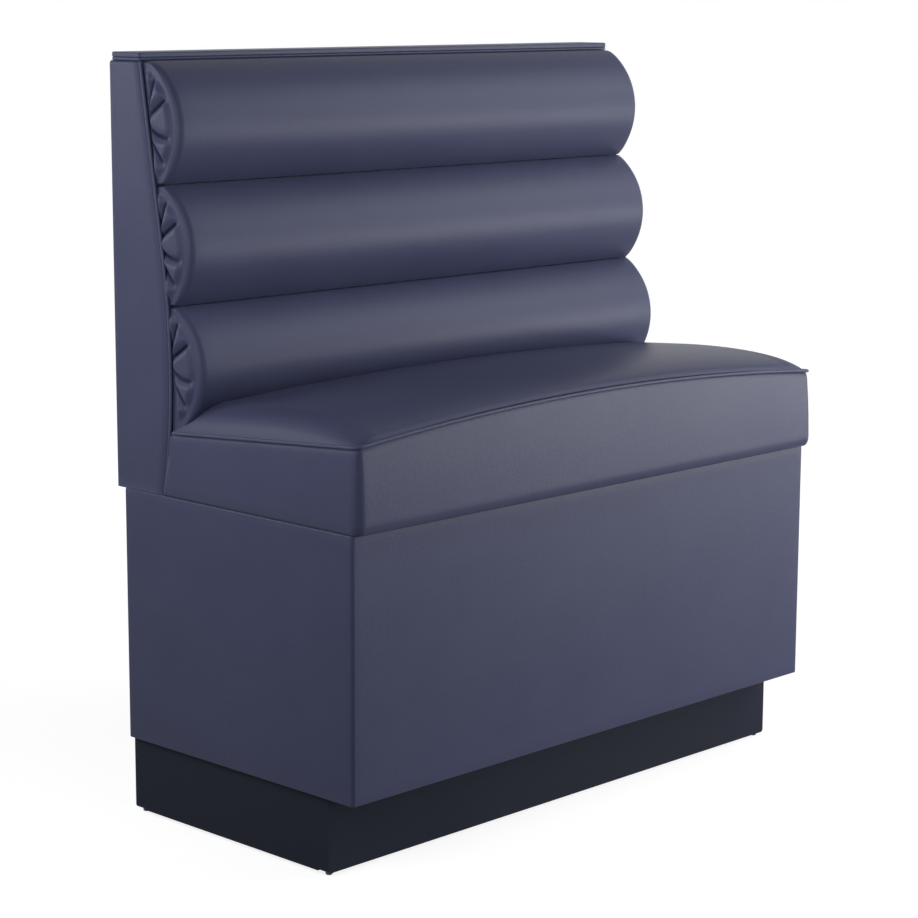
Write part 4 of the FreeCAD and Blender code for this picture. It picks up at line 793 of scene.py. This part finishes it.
def back_roll(index, level, material):
    """A roll: a circular front between two valleys, with rounded and pleated ends.

    The rows run from the middle of one end out to its rim, round the rim, along the
    roll and back to the middle of the other end. The columns go round the section.
    """
    half_turn = math.asin(ROLL_CHORD / ROLL_RADIUS)
    foot = ROLL_FOOT if index == 0 else ROLL_STEM
    tucked = math.acos((ROLL_AXIS_BACK - foot) / ROLL_RADIUS)
    turn = np.linspace(-tucked if index == 0 else -half_turn, half_turn, FRONT_POINTS)
    valley_turn = VALLEY_SHARE * half_turn
    to_valley = eased(np.clip((np.abs(turn) - valley_turn) / (half_turn - valley_turn), 0, 1))
    draw_in = 1 - (1 - ROLL_VALLEY_ROUND / ROLL_END_ROUND) * to_valley
    stem = np.linspace(0, 1, STEM_POINTS + 1)[1:]
    back = np.linspace(0, 1, BACK_POINTS + 2)[1:-1]
    rise = ROLL_TOP_RISE if index == 2 else 0.0
    reach = ROLL_STEM + ROLL_TOP_REACH * rise

    def section(inset):
        """The closed section with its front drawn in by an inset, less towards the valleys."""
        radius = ROLL_RADIUS - inset * draw_in
        forward = radius * np.cos(turn) - ROLL_AXIS_BACK
        along = radius * np.sin(turn)
        upper_f = forward[-1] + (-reach - forward[-1]) * stem
        upper_a = along[-1] + rise * np.sqrt(stem)
        lower_f = forward[0] + (-foot - forward[0]) * stem[::-1]
        back_f = -reach + (reach - foot) * back
        back_a = upper_a[-1] + (along[0] - upper_a[-1]) * back
        return (np.concatenate([forward, upper_f, back_f, lower_f]),
                np.concatenate([along, upper_a, back_a, np.full(len(stem), along[0])]))

    end_f, end_a = section(ROLL_END_ROUND)
    rows = []
    for share in np.linspace(0, 1, FACE_RINGS + 1)[:-1]:
        forward = FAN_PLACE[0] + (end_f - FAN_PLACE[0]) * share
        along = FAN_PLACE[1] + (end_a - FAN_PLACE[1]) * share
        rows.append((np.full(len(end_f), ROLL_HALF), forward, along))
    for angle in np.linspace(0, math.pi / 2, RIM_RINGS):
        forward, along = section(ROLL_END_ROUND * (1 - math.sin(angle)))
        rows.append((np.full(len(end_f), ROLL_HALF - ROLL_END_ROUND * (1 - math.cos(angle))), forward, along))
    straight = np.linspace(ROLL_HALF - ROLL_END_ROUND, 0, LENGTH_RINGS + 1)[1:]
    rows += [(np.full(len(end_f), x), *section(0.0)) for x in straight]
    half = np.array(rows)
    half[:, 0] += pleat_relief(half[:, 1], half[:, 2]) * (half[:, 0] > ROLL_HALF - END_FACE_DEPTH)
    left = half * np.array([-1.0, 1.0, 1.0])[None, :, None]
    whole = np.concatenate([left, half[-2::-1]])
    middle = (index + 0.5) * ROLL_PITCH
    x, forward, along = whole[:, 0], whole[:, 1], whole[:, 2] + middle
    y = VALLEY_Y - forward * math.cos(ROLL_RAKE) + along * math.sin(ROLL_RAKE)
    z = VALLEY_Z + forward * math.sin(ROLL_RAKE) + along * math.cos(ROLL_RAKE)
    return sewn_piece("roll_" + level, [(np.stack([x, y, z], -1), False, True)], material,
                      ["back_roll_cover_" + level, "back_roll_foam_" + level], crease=70.0)


def rear_panel(material):
    """Vinyl over the rear board: a flat face whose edges turn in on all four sides."""
    turn = np.linspace(0, math.pi / 2, 6)
    steps = REAR_EDGE_ROUND * (1 - np.cos(turn))
    falls = REAR_EDGE_ROUND * (1 - np.sin(turn))

    def rounded_run(low, high, count):
        """Places from edge to edge, and how far the face falls back at each."""
        flat = np.linspace(low + REAR_EDGE_ROUND, high - REAR_EDGE_ROUND, count + 2)[1:-1]
        return (np.concatenate([low + steps, flat, high - steps[::-1]]),
                np.concatenate([falls, np.zeros(count), falls[::-1]]))

    x, fall_x = rounded_run(-PANEL_IN, PANEL_IN, 38)
    z, fall_z = rounded_run(BASE_TOP, BACK_TOP, 24)
    grid_x, grid_z = np.meshgrid(x, z)
    y = BACK_REAR - np.minimum(REAR_EDGE_ROUND, np.hypot(*np.meshgrid(fall_x, fall_z)))
    return sewn_piece("rear_panel", [(np.stack([grid_x, y, grid_z], -1), False, False)], material,
                      ["back_rear_cover"])


# Cap

def cap_pad(material):
    """The cap's cover: a flat pad with rounded corners and edges and a slightly full top."""
    plan, outward = rounded_plan(CAP_HALF, CAP_FRONT, CAP_REAR, CAP_CORNER_ROUND, CAP_CORNER_ROUND,
                                 side_count=12, corner_count=10, front_count=120)
    centre = np.array([0.0, (CAP_FRONT + CAP_REAR) / 2])
    depth = (CAP_REAR - CAP_FRONT) / 2
    rows = []

    def ring(inset, z):
        """The plan at a level, moved in along its outward directions."""
        flat = plan - outward * inset
        rows.append(np.concatenate([flat, np.full((len(flat), 1), z)], -1))

    def inner_ring(distance, z):
        """The plan at a level, scaled towards its middle, where it closes to a line."""
        flat = centre + (plan - centre) * np.array([1 - distance / CAP_HALF, 1 - distance / depth])
        if distance == depth:
            flat[:, 0] = (flat[:, 0] + np.roll(flat[::-1, 0], 1)) / 2
        rows.append(np.concatenate([flat, np.full((len(flat), 1), z)], -1))

    inner_ring(depth, CAP_BOTTOM)
    inner_ring(CAP_UNDER_RING, CAP_BOTTOM)
    for turn in np.linspace(0, math.pi / 2, 5):
        ring(CAP_FOOT_ROUND * (1 - math.sin(turn)), CAP_BOTTOM + CAP_FOOT_ROUND * (1 - math.cos(turn)))
    for turn in np.linspace(0, math.pi / 2, 8):
        ring(CAP_EDGE_ROUND * (1 - math.cos(turn)), CAP_TOP - CAP_EDGE_ROUND * (1 - math.sin(turn)))
    for distance in (*CAP_TOP_RINGS, depth):
        share = (distance - CAP_EDGE_ROUND) / (depth - CAP_EDGE_ROUND)
        inner_ring(distance, CAP_TOP + CAP_FULLNESS * math.sin(math.pi / 2 * share))
    return sewn_piece("cap_pad", [(np.stack(rows), False, True)], material, ["cap_cover"])


def cap_piping(material):
    """Piping round the foot of the cap, in a closed ring."""
    plan, outward = rounded_plan(CAP_HALF, CAP_FRONT, CAP_REAR, CAP_CORNER_ROUND, CAP_CORNER_ROUND,
                                 side_count=14, corner_count=12, front_count=160)
    path = plan - outward * CAP_PIPING
    path = np.concatenate([path, np.full((len(path), 1), BACK_TOP + CAP_PIPING)], -1)
    out = np.concatenate([outward, np.zeros((len(outward), 1))], -1)
    return sewn_piece("cap_piping", [piping_tube(path, out, CAP_PIPING, closed=True)], material, ["cap_welt"])


# Dress the booth

grain_group = vinyl_grain_group()
polish_group = edge_polish_group()
vinyl = navy_vinyl("navy_vinyl", grain_group, polish_group)
piping_vinyl = navy_vinyl("navy_piping", grain_group, polish_group, shade=1.05, pebbles=1400.0, depth=0.00006)

finishes = {
    "navy_vinyl": vinyl,
    "black_plinth": black_laminate(),
    "plywood": sawn_wood("plywood", (0.62, 0.46, 0.29), (0.40, 0.26, 0.14), ring_scale=1.6, plies=55.0),
    "timber": sawn_wood("timber", (0.70, 0.53, 0.33), (0.48, 0.31, 0.16), ring_scale=2.4),
    "foam": mottled("foam", (0.80, 0.73, 0.50), (0.90, 0.84, 0.64), scale=700.0, rough=(0.85, 0.95),
                    bump_distance=0.0006),
    "felt": mottled("felt", (0.22, 0.22, 0.24), (0.38, 0.38, 0.40), scale=500.0, rough=(0.9, 1.0),
                    bump_distance=0.0008),
    "dust_cloth": mottled("dust_cloth", (0.02, 0.02, 0.022), (0.05, 0.05, 0.054), scale=900.0,
                          rough=(0.8, 0.95), bump_distance=0.0004),
    "steel": mottled("zinc_steel", (0.52, 0.53, 0.55), (0.66, 0.67, 0.69), scale=160.0, rough=(0.28, 0.45),
                     bump_distance=0.00005, metallic=1.0),
    "black_glide": mottled("black_nylon", (0.014, 0.014, 0.016), (0.024, 0.024, 0.027), scale=600.0,
                           rough=(0.45, 0.6), bump_distance=0.0001),
}
for part in frame["record"]["subparts"]:
    node = frame["nodes"][part["node"]]
    node.data.materials.clear()
    node.data.materials.append(finishes[part["material_slot"]])

base_wrap(vinyl)
seat_cushion(vinyl)
seat_piping(piping_vinyl)
for side, sign in (("left", -1), ("right", 1)):
    end_panel_cover(side, sign, vinyl)
    end_lining(side, sign, vinyl)
    end_piping(side, sign, piping_vinyl)
for index, level in enumerate(("bottom", "middle", "top")):
    back_roll(index, level, vinyl)
rear_panel(vinyl)
cap_pad(vinyl)
cap_piping(piping_vinyl)


# Studio

def seen_mask(tree):
    """1 for what the camera sees straight, in a mirror or through glass, and 0 for other light."""
    path = tree.nodes.new("ShaderNodeLightPath")
    either = add(tree, "ShaderNodeMath", operation="MAXIMUM")
    wire(tree, path.outputs["Is Camera Ray"], either.inputs[0])
    wire(tree, path.outputs["Is Glossy Ray"], either.inputs[1])
    every = add(tree, "ShaderNodeMath", operation="MAXIMUM")
    wire(tree, either.outputs["Value"], every.inputs[0])
    wire(tree, path.outputs["Is Transmission Ray"], every.inputs[1])
    return every.outputs["Value"]


def studio_floor():
    """A pale floor that keeps the booth's shadow and looks white where no shadow falls."""
    mesh = bpy.data.meshes.new("studio_floor")
    side = 30.0
    mesh.from_pydata([(-side, -side, 0), (side, -side, 0), (side, side, 0), (-side, side, 0)], [],
                     [(0, 1, 2, 3)])
    material, tree = new_material("studio_floor")
    tree.nodes.remove(tree.nodes["Principled BSDF"])
    matte = add(tree, "ShaderNodeBsdfDiffuse")
    matte.inputs["Color"].default_value = tone(FLOOR_TONE)
    glow = add(tree, "ShaderNodeEmission")
    place = add(tree, "ShaderNodeTexCoord")
    reach = add(tree, "ShaderNodeVectorMath", operation="LENGTH")
    wire(tree, place.outputs["Object"], reach.inputs[0])
    away = add(tree, "ShaderNodeMapRange", interpolation_type="SMOOTHSTEP", From_Min=1.2, From_Max=3.2,
               To_Min=0.84, To_Max=1.0)
    wire(tree, reach.outputs["Value"], away.inputs["Value"])
    lift = add(tree, "ShaderNodeMath", operation="MULTIPLY")
    wire(tree, seen_mask(tree), lift.inputs[0])
    wire(tree, away.outputs["Result"], lift.inputs[1])
    wire(tree, lift.outputs["Value"], glow.inputs["Strength"])
    both = add(tree, "ShaderNodeAddShader")
    wire(tree, matte.outputs[0], both.inputs[0])
    wire(tree, glow.outputs[0], both.inputs[1])
    wire(tree, both.outputs[0], tree.nodes["Material Output"].inputs["Surface"])
    mesh.materials.append(material)
    floor = bpy.data.objects.new("studio_floor", mesh)
    bpy.context.scene.collection.objects.link(floor)


def studio_world(fill_level):
    """White where it is seen, and a soft even fill for the rest."""
    world = bpy.data.worlds.new("studio")
    bpy.context.scene.world = world
    world.use_nodes = True
    tree = world.node_tree
    ground = tree.nodes["Background"]
    level = add(tree, "ShaderNodeMapRange", To_Min=fill_level, To_Max=1.0)
    wire(tree, seen_mask(tree), level.inputs["Value"])
    ground.inputs["Color"].default_value = (1, 1, 1, 1)
    wire(tree, level.outputs["Result"], ground.inputs["Strength"])


def softbox(name, place, target, width, height, power):
    """A soft rectangular lamp at a place, turned to a target."""
    lamp = bpy.data.lights.new(name, "AREA")
    lamp.shape = "RECTANGLE"
    lamp.size, lamp.size_y = width, height
    lamp.energy = power
    stand = bpy.data.objects.new(name, lamp)
    bpy.context.scene.collection.objects.link(stand)
    stand.location = place
    stand.rotation_euler = (Vector(target) - Vector(place)).to_track_quat("-Z", "Y").to_euler()


# Camera: its place in metres, its turns about X, Y and Z in degrees, and its lens in millimetres,
# all solved from the photograph's perspective
CAMERA_PLACE = (-3.29107, -3.14048, 1.42808)
CAMERA_TURNS = (79.5459, -0.2226, -45.8279)
CAMERA_LENS, CAMERA_SENSOR = 101.127, 36.0
CAMERA_REACH = 100.0


def photo_camera():
    """The camera at the photograph's place, direction and field of view."""
    lens = bpy.data.cameras.new("photo_camera")
    lens.sensor_width = CAMERA_SENSOR
    lens.lens = CAMERA_LENS
    lens.clip_end = CAMERA_REACH
    camera = bpy.data.objects.new("photo_camera", lens)
    bpy.context.scene.collection.objects.link(camera)
    turn = Euler([math.radians(angle) for angle in CAMERA_TURNS]).to_matrix().to_4x4()
    camera.matrix_world = Matrix.Translation(CAMERA_PLACE) @ turn
    bpy.context.scene.camera = camera


# Softboxes: name, place, width and height in metres, and power in watts, all turned to one target
LAMP_TARGET = (0.0, 0.0, 0.75)
SOFTBOXES = [("low_strip", (3.0, -2.6, 0.6), 2.0, 0.8, 129.0),
             ("high_right", (2.41, -1.39, 2.70), 1.7, 1.5, 52.0),
             ("front_right", (2.75, -2.1, 1.85), 1.4, 1.7, 58.0),
             ("front_left", (-0.9, -2.4, 1.2), 1.2, 1.2, 9.0),
             ("rear_left", (-1.6, 1.2, 1.5), 0.8, 0.8, 18.0),
             ("left", (-1.8, -0.2, 1.2), 0.9, 0.9, 15.0),
             ("rear", (-0.3, 3.2, 1.3), 1.6, 1.0, 25.0)]
FILL_LEVEL = 0.02

studio_floor()
studio_world(FILL_LEVEL)
for name, place, width, height, power in SOFTBOXES:
    softbox(name, place, LAMP_TARGET, width, height, power)
photo_camera()
bpy.context.scene.view_settings.view_transform = "Standard"
